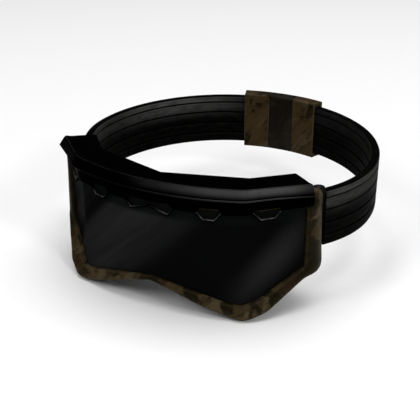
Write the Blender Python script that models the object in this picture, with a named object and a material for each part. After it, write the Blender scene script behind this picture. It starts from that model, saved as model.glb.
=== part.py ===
"""Protective goggles with a brow guard, a double lens and a ribbed strap with a rear clasp.

The goggles face -Y, +Z is up and +X is the wearer's left. The origin is under the middle of
the whole object, at the height of the bezel's two lowest edges. Lengths are in metres.

Front parts are drawn flat, as X along the face, Y up and Z out of it, and are then bent round
the front surface: a shallow middle arc, a tight corner, a straight wing and a side wall.
"""

import math

import bmesh
import bpy
from mathutils import Matrix, Vector

# Clearances
GAP = 0.0003
PIN_GAP = 0.0002
OVERRUN = 0.005
WELD = 0.000001

# Front surface, seen from above
FRONT_RADIUS = 0.150
FRONT_HALF = 0.054
CORNER_RADIUS = 0.015
WING_ANGLE = math.radians(45.2)
WING_LENGTH = 0.0404
SIDE_RADIUS = 0.008
SIDE_LENGTH = 0.006
FRONT_TO_LOOP = 0.110
FRAME_HEIGHT = 0.0871

# Bezel: the camouflage rim
BEZEL_DEPTH = 0.0052
BEZEL_SIDE_WALL = 0.0035
BEZEL_ROUND = 0.0024
BEZEL_TOP_DROP = 0.0051
BEZEL_POST_DROP = 0.0071
BEZEL_NOTCH_DROP = 0.0104
BEZEL_POST_ROUND = 0.004
LIP_DEPTH = 0.0024
LIP_ROUND = 0.0016
LENS_TOP_DROP = 0.0133
LENS_HALF = 0.0994
BEZEL_FLARE = 0.0064
BEZEL_EDGE_SHARES = (
    (0.000, 0.2112), (0.130, 0.1619), (0.290, 0.0884), (0.464, 0.0000), (0.546, 0.0000),
    (0.590, 0.0241), (0.642, 0.0517), (0.716, 0.1160), (0.788, 0.1803), (0.867, 0.2450),
    (0.950, 0.2790), (1.000, 0.2950),
)
LIP_EDGE_SHARES = (
    (0.000, 0.2520), (0.124, 0.2240), (0.259, 0.1917), (0.388, 0.1538), (0.507, 0.1114),
    (0.553, 0.1045), (0.615, 0.0930), (0.672, 0.1160), (0.730, 0.1424), (0.814, 0.2021),
    (0.910, 0.2698), (0.985, 0.3250), (1.000, 0.3400),
)
FLARE_SHARES = (
    (0.000, 0.00), (0.230, 0.12), (0.400, 0.20), (0.464, 0.24), (0.546, 0.80),
    (0.642, 1.00), (0.940, 0.00), (1.000, 0.00),
)

# Lens pair
LENS_THICKNESS = 0.0024
LENS_OVERLAP = 0.0020
SPACER_THICKNESS = 0.0027
SPACER_WIDTH = 0.0045
INNER_LENS_THICKNESS = 0.0010
INNER_SET_GAP = 0.0014

# Brow guard
BROW_WALL = 0.0016
BROW_LAP = 0.0001
BROW_SHELF_DEPTH = 0.0205
BROW_MIDDLE_DEPTH = 0.0160
BROW_CORNER_ACROSS = 0.0517
BROW_CORNER_DEPTH = 0.0315
BROW_SHELF_DROP = 0.0009
BROW_DROOP = 0.0022
BROW_SKIRT_DROP = 0.0166
BROW_SKIRT_TOP_DROP = 0.0083
BROW_LOWER_RIDGE_DROP = 0.0055
BROW_LOWER_RIDGE_OUT = 0.0036
BROW_UPPER_RIDGE_OUT = 0.0004
BROW_RIDGE_FLAT = 0.0008
BROW_RIDGE_SETBACK = 0.0045
WINDOW_RIM = 0.0010
WINDOW_TOP_DROP = 0.0121
WINDOW_WAIST_DROP = 0.0160
WINDOW_BOTTOM_DROP = 0.0219
MIDDLE_WINDOW_HALF = 0.0173
INNER_WINDOW_START = 0.0288
INNER_WINDOW_WIDTH = 0.0183
WING_WINDOW_START = 0.0625
WING_WINDOW_WIDTH = 0.0215
MIDDLE_WINDOW_SHARES = (
    (-1.00, 0.00), (-0.76, -1.00), (0.00, -0.32), (0.76, -1.00), (1.00, 0.00), (0.80, 0.90),
    (0.00, 0.80), (-0.80, 0.90),
)
INNER_WINDOW_SHARES = (
    (0.00, 0.10), (0.29, -0.95), (0.72, -0.95), (1.00, 0.15), (0.87, 1.00), (0.19, 1.00),
)
WING_WINDOW_SHARES = (
    (0.00, 0.25), (0.32, -1.00), (0.78, -1.00), (1.00, -0.10), (0.93, 0.70), (0.05, 0.70),
)

# Rear frame
FLANGE_THICKNESS = 0.0020
FLANGE_LIFT = 0.0022
FLANGE_LAP = 0.0011
FLANGE_TOP_DROP = 0.0105
BODY_INSET = 0.0274
BODY_TOP_DROP = 0.0150
BODY_WALL = 0.0026
BODY_DEPTH = 0.026
FACE_RADIUS = 0.116
FOAM_THICKNESS = 0.0120
SEAT_THICKNESS = 0.0020
SEAT_OUT = 0.0010
SEAT_WIDTH = 0.0100
BODY_EDGE_SHARES = (
    (0.00, 0.2273), (0.62, 0.0870), (0.75, 0.0380), (0.86, 0.0380), (0.945, 0.1300),
    (1.00, 0.2650),
)
BODY_CORNER_ACROSS = 0.007
BODY_CORNER_DOWN = 0.009

# Vents in the rear frame
VENT_LENGTH = 0.010
VENT_WIDTH = 0.0058
VENT_PITCH = 0.0155
TOP_VENTS = 5
FILTER_THICKNESS = 0.0030
FILTER_DEPTH = 0.0078
TOP_FILTER_HALF = 0.0385
FILTER_TO_BACK = 0.0022
LOW_VENT_START = 0.0150
LOW_FILTER_START = 0.0110
LOW_FILTER_END = 0.0385
LOW_VENTS = 2

# Foam
LINING_THICKNESS = 0.0012
FOAM_OUT = 0.0010
FOAM_WIDTH = 0.0108

# Strap and its loop
STRAP_THICKNESS = 0.0058
STRAP_HEIGHT = 0.038
STRAP_DROP = 0.0533
LOOP_RADIUS = 0.0983
STRAP_EDGE = 0.0014
GROOVE_DEPTH = 0.0008
GROOVE_WIDTH = 0.0012
GROOVE_SHARES = (0.205, 0.430, 0.650, 0.865)
STRAP_STEPS = 16
STRAP_FRONT_STEPS = 6

# Strap pin, bracket and knuckle
PIN_ALONG = 0.0523
PIN_DEPTH = 0.0166
PIN_RADIUS = 0.0015
KNUCKLE_RADIUS = 0.0032
BRACKET_ROUND = 0.0037
BRACKET_ARM = 0.0022
BRACKET_BASE = 0.0032
BRACKET_BASE_LENGTH = 0.0095
BRACKET_CUT_RADIUS = 0.0090
END_PLATE = 0.0020
END_PLATE_LENGTH = 0.0085
END_PLATE_HEIGHT = 0.030
STRAP_TO_PIN = 0.0042
BRACKET_SCREW_DROP = 0.0060

# Clasp
CLASP_LAP = 0.0032
CLASP_SLACK = 0.0004
CLASP_INNER_WALL = 0.0016
CLASP_OUTER_WALL = 0.0019
CLASP_EDGE = 0.0008
CLASP_HALF_ANGLE = math.radians(17.6)
SOCKET_HALF_ANGLE = math.radians(5.75)
CLASP_SPLIT_ANGLE = math.radians(0.17)
STRAP_END_ANGLE = math.radians(11.8)
BLOCK_END_ANGLE = math.radians(11.6)
LINK_END_ANGLE = math.radians(3.9)
TONGUE_BLOCK_ANGLE = math.radians(4.8)
TONGUE_TIP = 0.0052
TONGUE_THICKNESS = 0.0010
TONGUE_HALF_HEIGHT = 0.0090
TONGUE_TAPER = 0.0025
NOTCH_DEPTH = 0.0023
NOTCH_HALF = 0.0017

# Release button
BUTTON_HALF_WIDTH = 0.0052
BUTTON_HALF_HEIGHT = 0.0080
BUTTON_PROUD = 0.0006
BUTTON_TRAVEL = 0.0015
BUTTON_FLANGE = 0.0008
BUTTON_FLANGE_HALF = 0.0182
LEG_HALF_WIDTH = 0.0014
LEG_START = 0.0100
LEG_WIDTH = 0.0035
CATCH_REACH = 0.0030
CATCH_HEIGHT = 0.0013
CATCH_CLEARANCE = 0.0004
SPRING_RADIUS = 0.0016
SPRING_WIRE = 0.00025
SPRING_PLACE = 0.0160
SPRING_TURNS = 4
SPRING_TURN_POINTS = 8

# Screws
SCREW_RADIUS = 0.0010
SCREW_HEAD_RADIUS = 0.0019
SCREW_HEAD_HEIGHT = 0.0009
SCREW_SINK = 0.0002
SCREW_FLOOR = 0.0005
STRAP_SCREW_ANGLE = math.radians(14.6)
BLOCK_SCREW_ANGLE = math.radians(8.7)
SCREW_PLACE = 0.0105

# Divisions of curves
ROUND_STEPS = 12
PIN_STEPS = 20
COLUMN_STEPS = 96
ARC_STEPS = 5
CORNER_STEPS = 3
SIDE_STEPS = 4
CLASP_STEPS = 3
BRACKET_STEPS = 10
BRACKET_TURN = math.radians(20)
BRACKET_FIRST = math.radians(-70)
SEARCH_STEPS = 40
SHARP_ANGLE = math.radians(30)
FLAT_ANGLE = math.radians(0.05)

# Heights, and sizes that follow from the ones above
BEZEL_TOP = FRAME_HEIGHT - BEZEL_TOP_DROP
BEZEL_POST_TOP = FRAME_HEIGHT - BEZEL_POST_DROP
BEZEL_NOTCH = FRAME_HEIGHT - BEZEL_NOTCH_DROP
LENS_TOP = FRAME_HEIGHT - LENS_TOP_DROP
BROW_SKIRT_BOTTOM = FRAME_HEIGHT - BROW_SKIRT_DROP
BROW_SKIRT_TOP = FRAME_HEIGHT - BROW_SKIRT_TOP_DROP
BROW_LOWER_RIDGE = FRAME_HEIGHT - BROW_LOWER_RIDGE_DROP
WINDOW_TOP = FRAME_HEIGHT - WINDOW_TOP_DROP
WINDOW_WAIST = FRAME_HEIGHT - WINDOW_WAIST_DROP
WINDOW_BOTTOM = FRAME_HEIGHT - WINDOW_BOTTOM_DROP
FLANGE_TOP = FRAME_HEIGHT - FLANGE_TOP_DROP
BODY_TOP = FRAME_HEIGHT - BODY_TOP_DROP
STRAP_BOTTOM = FRAME_HEIGHT - STRAP_DROP
BROW_HALF = LENS_HALF + BROW_LAP
BODY_HALF = LENS_HALF - BODY_INSET
FLANGE_HALF = LENS_HALF + FLANGE_LAP
CLASP_HEIGHT = STRAP_HEIGHT + 2 * CLASP_LAP
CLASP_INNER_RADIUS = LOOP_RADIUS - GAP - CLASP_INNER_WALL
CLASP_OUTER_RADIUS = LOOP_RADIUS + STRAP_THICKNESS + CLASP_SLACK + CLASP_OUTER_WALL

# Front surface worked out from the sizes above
FRONT_ANGLE = math.asin(FRONT_HALF / FRONT_RADIUS)
CORNER_START = FRONT_RADIUS * FRONT_ANGLE
WING_START = CORNER_START + CORNER_RADIUS * (WING_ANGLE - FRONT_ANGLE)
WING_END = WING_START + WING_LENGTH
SIDE_START = WING_END + SIDE_RADIUS * (math.pi / 2 - WING_ANGLE)
FRONT_END = SIDE_START + SIDE_LENGTH
FRONT_REACH = FRONT_TO_LOOP + BROW_LOWER_RIDGE_OUT
LOOP_Y = (FRONT_REACH - CLASP_OUTER_RADIUS - BUTTON_PROUD) / 2
FRONT_Y = LOOP_Y - FRONT_TO_LOOP
FRAME_BACK_RADIUS = FACE_RADIUS + FOAM_THICKNESS + GAP
FACE_Y = FRONT_Y + BODY_DEPTH + FRAME_BACK_RADIUS
LOOP_MIDDLE = LOOP_RADIUS + STRAP_THICKNESS / 2
STRAP_MIDDLE = STRAP_BOTTOM + STRAP_HEIGHT / 2
FLANGE_DEPTH = BEZEL_DEPTH + GAP
FLANGE_BACK = FLANGE_DEPTH + FLANGE_THICKNESS
LENS_DEPTH = LIP_DEPTH + GAP
SPACER_DEPTH = LENS_DEPTH + LENS_THICKNESS + GAP
INNER_LENS_DEPTH = SPACER_DEPTH + SPACER_THICKNESS + GAP
CLASP_PARTING = (CLASP_INNER_RADIUS + CLASP_OUTER_RADIUS) / 2
SOCKET_FLOOR = CLASP_INNER_RADIUS + CLASP_INNER_WALL
TONGUE_INNER_RADIUS = SOCKET_FLOOR + BUTTON_TRAVEL + CATCH_CLEARANCE

PARTS = "goggles"


# Scene and materials

def empty_scene():
    """Removes what the file opened with."""
    for item in list(bpy.data.objects):
        bpy.data.objects.remove(item)


def material(name, colour, roughness, metallic=0.0):
    """A plain Principled material."""
    made = bpy.data.materials.new(name)
    made.use_nodes = True
    shader = made.node_tree.nodes["Principled BSDF"]
    shader.inputs["Base Color"].default_value = (*colour, 1.0)
    shader.inputs["Roughness"].default_value = roughness
    shader.inputs["Metallic"].default_value = metallic
    made.diffuse_color = (*colour, 1.0)
    return made


def finish(shape, name, look, carrier=None):
    """Makes a bmesh the named part, with its origin on its carrier's axis where it has one."""
    if carrier:
        bmesh.ops.translate(shape, verts=shape.verts, vec=-carrier.matrix_world.translation)
    mesh = bpy.data.meshes.new(name)
    shape.to_mesh(mesh)
    shape.free()
    mesh.materials.append(look)
    mesh.shade_smooth()
    mesh.set_sharp_from_angle(angle=SHARP_ANGLE)
    part = bpy.data.objects.new(name, mesh)
    bpy.data.collections[PARTS].objects.link(part)
    part.parent = carrier
    return part


def axis_empty(name, place, parent=None):
    """An empty on a joint's axis."""
    empty = bpy.data.objects.new(name, None)
    bpy.data.collections[PARTS].objects.link(empty)
    empty.parent = parent
    empty.location = place - (parent.matrix_world.translation if parent else Vector())
    bpy.context.view_layer.update()
    return empty


# Shapes

def plate(loops, low, high):
    """A flat plate in X and Y from low to high on Z: the first loop is its edge, others are holes."""
    curve = bpy.data.curves.new("outline", "CURVE")
    curve.dimensions = "2D"
    curve.fill_mode = "BOTH"
    curve.extrude = (high - low) / 2
    for loop in loops:
        spline = curve.splines.new("POLY")
        spline.points.add(len(loop) - 1)
        for point, (x, y) in zip(spline.points, loop):
            point.co = (x, y, 0.0, 1.0)
        spline.use_cyclic_u = True
    guide = bpy.data.objects.new("outline", curve)
    shape = taken(guide)
    bpy.data.curves.remove(curve)
    bmesh.ops.translate(shape, verts=shape.verts, vec=(0, 0, (low + high) / 2))
    return shape


def taken(guide):
    """The evaluated mesh of an object as a welded bmesh; the object is removed."""
    bpy.context.scene.collection.objects.link(guide)
    bpy.context.view_layer.update()
    source = guide.evaluated_get(bpy.context.evaluated_depsgraph_get())
    mesh = bpy.data.meshes.new_from_object(source)
    shape = bmesh.new()
    shape.from_mesh(mesh)
    bmesh.ops.remove_doubles(shape, verts=shape.verts, dist=WELD)
    bmesh.ops.dissolve_limit(
        shape, angle_limit=FLAT_ANGLE, verts=shape.verts, edges=shape.edges
    )
    bpy.data.objects.remove(guide)
    bpy.data.meshes.remove(mesh)
    return shape


def combined(first, second, operation):
    """The union, difference or intersection of two closed shapes."""
    holders = []
    for shape in (first, second):
        mesh = bpy.data.meshes.new("operand")
        shape.to_mesh(mesh)
        shape.free()
        holders.append(bpy.data.objects.new("operand", mesh))
    body, tool = holders
    bpy.context.scene.collection.objects.link(tool)
    join = body.modifiers.new("join", "BOOLEAN")
    join.operation = operation
    join.object = tool
    result = taken(body)
    bpy.data.objects.remove(tool)
    return result


def without(body, *tools):
    """The body with each tool cut from it."""
    for tool in tools:
        body = combined(body, tool, "DIFFERENCE")
    return body


def joined(body, *others):
    """One body made of all the shapes."""
    for other in others:
        body = combined(body, other, "UNION")
    return body


def block(low, high):
    """A box between two corners."""
    shape = bmesh.new()
    bmesh.ops.create_cube(shape, size=1.0)
    low, high = Vector(low), Vector(high)
    size = high - low
    bmesh.ops.scale(shape, verts=shape.verts, vec=size)
    bmesh.ops.translate(shape, verts=shape.verts, vec=(low + high) / 2)
    return shape


def rod(start, end, radius, steps=ROUND_STEPS):
    """A capped cylinder between two points."""
    start, end = Vector(start), Vector(end)
    shape = bmesh.new()
    bmesh.ops.create_cone(
        shape, cap_ends=True, segments=steps, radius1=radius, radius2=radius,
        depth=(end - start).length,
    )
    turn = Vector((0, 0, 1)).rotation_difference(end - start).to_matrix().to_4x4()
    place = Matrix.Translation((start + end) / 2) @ turn
    bmesh.ops.transform(shape, matrix=place, verts=shape.verts)
    return shape


def mirrored(shape):
    """The shape's mirror image across the middle of the face."""
    other = shape.copy()
    bmesh.ops.scale(other, verts=other.verts, vec=(-1, 1, 1))
    bmesh.ops.reverse_faces(other, faces=other.faces)
    return other


def both_sides(half):
    """A closed outline from its right half, which runs from the bottom middle to the top."""
    other = [(-x, y) for x, y in reversed(half) if x > WELD]
    return list(half) + other


def grown(outline, distance):
    """An anticlockwise outline moved outward by a distance, with its corners kept sharp."""
    moved = []
    for index, here in enumerate(outline):
        here = Vector(here)
        before = here - Vector(outline[index - 1])
        after = Vector(outline[(index + 1) % len(outline)]) - here
        first = Vector((before.y, -before.x)).normalized()
        second = Vector((after.y, -after.x)).normalized()
        moved.append(tuple(here + distance * (first + second) / (1 + first.dot(second))))
    return moved


# Bending round the front surface

def front_point(along, depth):
    """Plan position of a point a distance along the front surface and a depth behind it."""
    runs = (
        (CORNER_START, FRONT_RADIUS), (WING_START - CORNER_START, CORNER_RADIUS),
        (WING_LENGTH, None), (SIDE_START - WING_END, SIDE_RADIUS), (SIDE_LENGTH, None),
    )
    left, heading = abs(along), 0.0
    x, y = 0.0, FRONT_Y
    for length, radius in runs:
        step = min(left, length)
        if radius:
            turned = heading + step / radius
            x += radius * (math.sin(turned) - math.sin(heading))
            y += radius * (math.cos(heading) - math.cos(turned))
            heading = turned
        else:
            x += step * math.cos(heading)
            y += step * math.sin(heading)
        left -= step
    x += left * math.cos(heading) - depth * math.sin(heading)
    y += left * math.sin(heading) + depth * math.cos(heading)
    return math.copysign(x, along), y


def stations():
    """The places along the front where a flat part is divided so that it can bend."""
    half = []
    for start, end, steps in (
        (0.0, CORNER_START, ARC_STEPS), (CORNER_START, WING_START, CORNER_STEPS),
        (WING_END, SIDE_START, SIDE_STEPS),
    ):
        half += [start + (end - start) * step / steps for step in range(1, steps + 1)]
    half = sorted(half + [WING_END])
    return [-place for place in reversed(half)] + [0.0] + half


def divided(shape, places):
    """The shape with an upright cut through its faces at each place on X."""
    for place in places:
        everything = shape.verts[:] + shape.edges[:] + shape.faces[:]
        bmesh.ops.bisect_plane(
            shape, geom=everything, dist=WELD, plane_co=(place, 0, 0), plane_no=(1, 0, 0)
        )
    return shape


def bent(shape):
    """Divides a flat part at the stations and bends it round the front surface."""
    divided(shape, stations())
    bmesh.ops.triangulate(shape, faces=shape.faces)
    for vert in shape.verts:
        along, height, out = vert.co
        x, y = front_point(along, -out)
        vert.co = (x, y, height)
    return shape


def read_off(table, across):
    """A value between the rows of a table of places and values."""
    for (first, low), (second, high) in zip(table, table[1:]):
        if across <= second:
            share = (across - first) / (second - first)
            return low + share * (high - low)
    return table[-1][1]


def standing(shape):
    """Turns a flat plate upright, so that its Y becomes height and its Z points forward."""
    bmesh.ops.rotate(
        shape, cent=(0, 0, 0), matrix=Matrix.Rotation(math.pi / 2, 3, "X"), verts=shape.verts
    )
    return shape


def along_at(x, depth):
    """The distance along the front at which a point of a given depth lies at x."""
    low, high = 0.0, FRONT_END
    for _ in range(SEARCH_STEPS):
        middle = (low + high) / 2
        if front_point(middle, depth)[0] < abs(x):
            low = middle
        else:
            high = middle
    return math.copysign(low, x)


# Bezel and lenses

def bezel_edge():
    """The bezel's flat edge, with slots in its top for the ends of the brow guard."""
    low = [(along * FRONT_END, up * FRAME_HEIGHT) for along, up in BEZEL_EDGE_SHARES]
    slot_end = BROW_HALF + GAP
    slot_start = BROW_HALF - BROW_WALL - GAP
    high = [
        (FRONT_END, BEZEL_POST_TOP - BEZEL_POST_ROUND),
        (FRONT_END - BEZEL_POST_ROUND, BEZEL_POST_TOP),
        (slot_end, BEZEL_POST_TOP), (slot_end, BEZEL_NOTCH), (slot_start, BEZEL_NOTCH),
        (slot_start, BEZEL_TOP), (0.0, BEZEL_TOP),
    ]
    return both_sides(low + high)


def lip_edge():
    """The flat edge of the opening that shows the lens."""
    low = [(along * LENS_HALF, up * FRAME_HEIGHT) for along, up in LIP_EDGE_SHARES]
    corner = BEZEL_POST_ROUND
    high = [(LENS_HALF, LENS_TOP - corner), (LENS_HALF - corner, LENS_TOP), (0.0, LENS_TOP)]
    return both_sides(low + high)


def front_edges(shape, outline, out):
    """The edges of a flat shape that lie on an outline at a height out of the face."""
    corners = [Vector((x, y, out)) for x, y in outline]
    near = {
        vert for vert in shape.verts
        if any((vert.co - corner).length < WELD for corner in corners)
    }
    return [edge for edge in shape.edges if near.issuperset(edge.verts)]


def rounded(shape, edges, size):
    """The shape with the given edges rounded."""
    bmesh.ops.bevel(
        shape, geom=edges, offset=size, offset_type="OFFSET", segments=2, profile=0.5,
        affect="EDGES", material=-1, clamp_overlap=True,
    )
    return shape


def make_bezel(look):
    """The rim: its lens seat is open at the back, and its top lies behind the skirt."""
    edge, opening = bezel_edge(), lip_edge()
    shape = plate([edge, opening], -BEZEL_DEPTH, 0.0)
    outer_edges = front_edges(shape, edge, 0.0)
    rounded(shape, outer_edges, BEZEL_ROUND)
    inner_edges = front_edges(shape, opening, 0.0)
    rounded(shape, inner_edges, LIP_ROUND)
    seat = plate([grown(opening, LENS_OVERLAP + GAP)], -BEZEL_DEPTH - OVERRUN, -LIP_DEPTH)
    behind_skirt = block(
        (-BROW_HALF - GAP, BROW_SKIRT_BOTTOM - BROW_WALL, -BROW_WALL - GAP),
        (BROW_HALF + GAP, BEZEL_TOP + OVERRUN, OVERRUN),
    )
    thin_side = block(
        (WING_END, -OVERRUN, -BEZEL_DEPTH - OVERRUN),
        (FRONT_END + OVERRUN, FRAME_HEIGHT, -BEZEL_SIDE_WALL),
    )
    shape = without(shape, seat, behind_skirt, mirrored(thin_side), thin_side)
    finish(bent(flared(shape)), "front_bezel", look)


def flared(shape):
    """The flat bezel with its lower rim swelling forward from the lens to the outer edge."""
    places = [share * FRONT_END for share, _ in FLARE_SHARES[1:-1]]
    divided(shape, [-place for place in reversed(places)] + places + stations())
    for vert in shape.verts:
        along, height, out = vert.co
        across = abs(along) / FRONT_END
        low = FRAME_HEIGHT * read_off(BEZEL_EDGE_SHARES, across)
        high = FRAME_HEIGHT * read_off(LIP_EDGE_SHARES, abs(along) / LENS_HALF)
        down = max(0.0, min(1.0, (high - height) / (high - low)))
        swell = BEZEL_FLARE * read_off(FLARE_SHARES, across) * (out + BEZEL_DEPTH) / BEZEL_DEPTH
        vert.co.z += down * swell
    return shape


def inner_set_edge(inset):
    """Flat outline of what passes through the rear frame's opening, in front of the wall."""
    front = []
    for x, height in grown(body_edge(), -BODY_WALL - inset):
        front.append((along_at(x, SPACER_DEPTH), height))
    return front


def make_lenses(smoke, clear, foam):
    """The outer lens in the bezel, and the spacer and inner lens bonded behind it."""
    outer = plate([grown(lip_edge(), LENS_OVERLAP)], -LENS_DEPTH - LENS_THICKNESS, -LENS_DEPTH)
    finish(bent(outer), "lens_outer", smoke)
    edge = inner_set_edge(INNER_SET_GAP)
    hole = inner_set_edge(INNER_SET_GAP + SPACER_WIDTH)
    spacer = plate([edge, hole], -SPACER_DEPTH - SPACER_THICKNESS, -SPACER_DEPTH)
    finish(bent(spacer), "lens_spacer", foam)
    inner = plate([edge], -INNER_LENS_DEPTH - INNER_LENS_THICKNESS, -INNER_LENS_DEPTH)
    finish(bent(inner), "lens_inner", clear)


# Brow guard

def window_outlines():
    """The outer edges of the five vent windows' rims, from the wearer's right to the left."""
    rise, drop = WINDOW_TOP - WINDOW_WAIST, WINDOW_WAIST - WINDOW_BOTTOM

    def placed(shares, start, width):
        return [
            (start + across * width, WINDOW_WAIST + up * (rise if up > 0 else drop))
            for across, up in shares
        ]

    middle = placed(MIDDLE_WINDOW_SHARES, 0.0, MIDDLE_WINDOW_HALF)
    inner = placed(INNER_WINDOW_SHARES, INNER_WINDOW_START, INNER_WINDOW_WIDTH)
    wing = placed(WING_WINDOW_SHARES, WING_WINDOW_START, WING_WINDOW_WIDTH)

    def other(outline):
        return [(-x, y) for x, y in reversed(outline)]

    return [other(wing), other(inner), middle, inner, wing]


def flat_bar(section, start, end):
    """A flat-pattern bar along the face, from a section of how far out and how high it is."""
    shape = plate([section], start, end)
    turn = Matrix(((0, 0, 1), (0, 1, 0), (1, 0, 0)))
    bmesh.ops.transform(shape, matrix=turn.to_4x4(), verts=shape.verts)
    bmesh.ops.reverse_faces(shape, faces=shape.faces)
    return shape


def brow_outside(inset, back):
    """The brow guard's outer profile from the skirt up over both ridges and back."""
    top, ridge = FRAME_HEIGHT - inset, BROW_LOWER_RIDGE
    return [
        (-inset, BROW_SKIRT_TOP - BROW_WALL),
        (BROW_LOWER_RIDGE_OUT - inset, ridge - BROW_RIDGE_FLAT),
        (BROW_LOWER_RIDGE_OUT - inset, ridge),
        (BROW_UPPER_RIDGE_OUT - inset, top - BROW_RIDGE_FLAT / 2),
        (-BROW_UPPER_RIDGE_OUT - inset, top), (-back, top - BROW_SHELF_DROP - GAP),
    ]


def brow_bar():
    """The front of the brow guard, flat: skirt and ridged bar in one hollow section."""
    under = FRAME_HEIGHT - BROW_SHELF_DROP - BROW_WALL
    ridge = BROW_LOWER_RIDGE
    low = WINDOW_BOTTOM - OVERRUN
    inside = [
        (-BROW_RIDGE_SETBACK, under), (-BROW_WALL, under),
        (BROW_LOWER_RIDGE_OUT - BROW_WALL, ridge + BROW_RIDGE_FLAT / 2),
        (BROW_LOWER_RIDGE_OUT - BROW_WALL, ridge), (-BROW_WALL, BROW_SKIRT_TOP),
        (-BROW_WALL, low), (0.0, low),
    ]
    reach = BROW_HALF - BROW_WALL / 2
    return flat_bar(brow_outside(0.0, BROW_RIDGE_SETBACK) + inside, -reach, reach)


def shelf_outline():
    """Plan outline of the brow's shelf, whose back edge runs in four straight parts."""
    reach = BROW_HALF - BROW_WALL / 2
    overlap = BROW_RIDGE_SETBACK - BROW_WALL
    front = [front_point(place, overlap) for place in stations() if abs(place) < reach]
    right = [front_point(reach, depth) for depth in (overlap, BROW_SHELF_DEPTH)]
    right.append((BROW_CORNER_ACROSS, FRONT_Y + BROW_CORNER_DEPTH))
    left = [(-x, y) for x, y in reversed(right)]
    return front + right + [(0.0, FRONT_Y + BROW_MIDDLE_DEPTH)] + left


def make_brow(look):
    """The gloss cover: skirt with hanging window rims, ridged bar, shelf and end caps."""
    windows = window_outlines()
    wide, deep = BROW_HALF + OVERRUN, WINDOW_BOTTOM - 2 * OVERRUN
    path = [(-wide, BROW_SKIRT_BOTTOM)]
    for outline in windows:
        path += hanging(outline)
    path += [(wide, BROW_SKIRT_BOTTOM), (wide, deep), (-wide, deep)]
    low, high = -BROW_WALL - OVERRUN, OVERRUN
    front = without(brow_bar(), plate([path], low, high))
    for outline in windows:
        front = without(front, plate([grown(outline, -WINDOW_RIM)], low, high))
    top = FRAME_HEIGHT - BROW_SHELF_DROP
    shelf = plate([shelf_outline()], top - BROW_WALL - GAP, top)
    inset = BROW_WALL / 2
    back = BROW_SHELF_DEPTH - inset
    foot, under = BROW_SKIRT_TOP - inset, top - 2 * BROW_WALL
    end = [(-inset, foot)] + brow_outside(inset, back)[1:]
    end += [(-back, under), (-BEZEL_DEPTH, under), (-BEZEL_DEPTH, foot)]
    cap = flat_bar(end, BROW_HALF - BROW_WALL, BROW_HALF)
    front = bent(joined(front, mirrored(cap), cap))
    finish(drooped(joined(front, shelf)), "brow_guard", look)


def drooped(shape):
    """The brow guard with its wings sinking a little towards their ends."""
    divided(shape, (-FRONT_HALF, FRONT_HALF))
    bmesh.ops.triangulate(shape, faces=shape.faces)
    end = front_point(BROW_HALF, 0)[0]
    for vert in shape.verts:
        across = max(0.0, (abs(vert.co.x) - FRONT_HALF) / (end - FRONT_HALF))
        up = max(0.0, (vert.co.z - BROW_SKIRT_BOTTOM) / (FRAME_HEIGHT - BROW_SKIRT_BOTTOM))
        vert.co.z -= BROW_DROOP * across * up
    return shape


def hanging(outline):
    """The part of a window's rim that hangs below the skirt, from left to right."""
    count = len(outline)
    crossings = []
    for index in range(count):
        (x1, y1), (x2, y2) = outline[index], outline[(index + 1) % count]
        if (y1 > BROW_SKIRT_BOTTOM) != (y2 > BROW_SKIRT_BOTTOM):
            share = (BROW_SKIRT_BOTTOM - y1) / (y2 - y1)
            crossings.append((x1 + share * (x2 - x1), BROW_SKIRT_BOTTOM))
    below = [point for point in outline if point[1] < BROW_SKIRT_BOTTOM]
    return sorted(crossings + below)


# Rear frame and foam

def body_edge():
    """The rear frame's outline in the front view."""
    low = [(across * BODY_HALF, up * FRAME_HEIGHT) for across, up in BODY_EDGE_SHARES]
    high = [
        (BODY_HALF, BODY_TOP - BODY_CORNER_DOWN), (BODY_HALF - BODY_CORNER_ACROSS, BODY_TOP),
        (0.0, BODY_TOP),
    ]
    return both_sides(low + high)


def face_column(radius):
    """An upright column on the centre of the face's curve."""
    foot, head = (0, FACE_Y, -OVERRUN), (0, FACE_Y, FRAME_HEIGHT + OVERRUN)
    return rod(foot, head, radius, COLUMN_STEPS)


def reach_back():
    """A Y behind everything that follows the face's curve."""
    return FACE_Y - math.sqrt(FACE_RADIUS ** 2 - (BODY_HALF + OVERRUN) ** 2) + OVERRUN


def prism(loops, front_y, back_y):
    """A shape with a front-view outline between two places on Y."""
    return standing(plate(loops, -back_y, -front_y))


def shell_between(loops, near_radius, far_radius):
    """A front-view outline kept between two columns of the face's curve."""
    solid = prism(loops, FACE_Y - far_radius - OVERRUN, reach_back())
    solid = combined(solid, face_column(far_radius), "INTERSECT")
    return without(solid, face_column(near_radius))


def vent_box(x, height, reach):
    """A cutter for one vent through a wall at a height."""
    y = filter_back() - FILTER_DEPTH / 2
    corner = Vector((VENT_LENGTH / 2, VENT_WIDTH / 2, reach))
    middle = Vector((x, y, height))
    return block(middle - corner, middle + corner)


def low_wall(x):
    """Height of the lower wall's underside between the nose and the lobe."""
    (x1, up1), (x2, up2) = BODY_EDGE_SHARES[:2]
    share = (x / BODY_HALF - x1) / (x2 - x1)
    return FRAME_HEIGHT * (up1 + share * (up2 - up1))


def filter_back():
    """The back of the filters, in front of the foam's seat."""
    return FRONT_Y + BODY_DEPTH - FILTER_TO_BACK


def flange_edge():
    """The flat edge of the flange, a little inside the bezel's."""
    places = [(along * FRONT_END, up * FRAME_HEIGHT) for along, up in BEZEL_EDGE_SHARES]
    half = []
    for (along, height), (further, higher) in zip(places, places[1:]):
        half.append((along, height + FLANGE_LIFT))
        if further > FLANGE_HALF:
            share = (FLANGE_HALF - along) / (further - along)
            half.append((FLANGE_HALF, height + share * (higher - height) + FLANGE_LIFT))
            break
    return both_sides(half + [(FLANGE_HALF, FLANGE_TOP), (0.0, FLANGE_TOP)])


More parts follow.
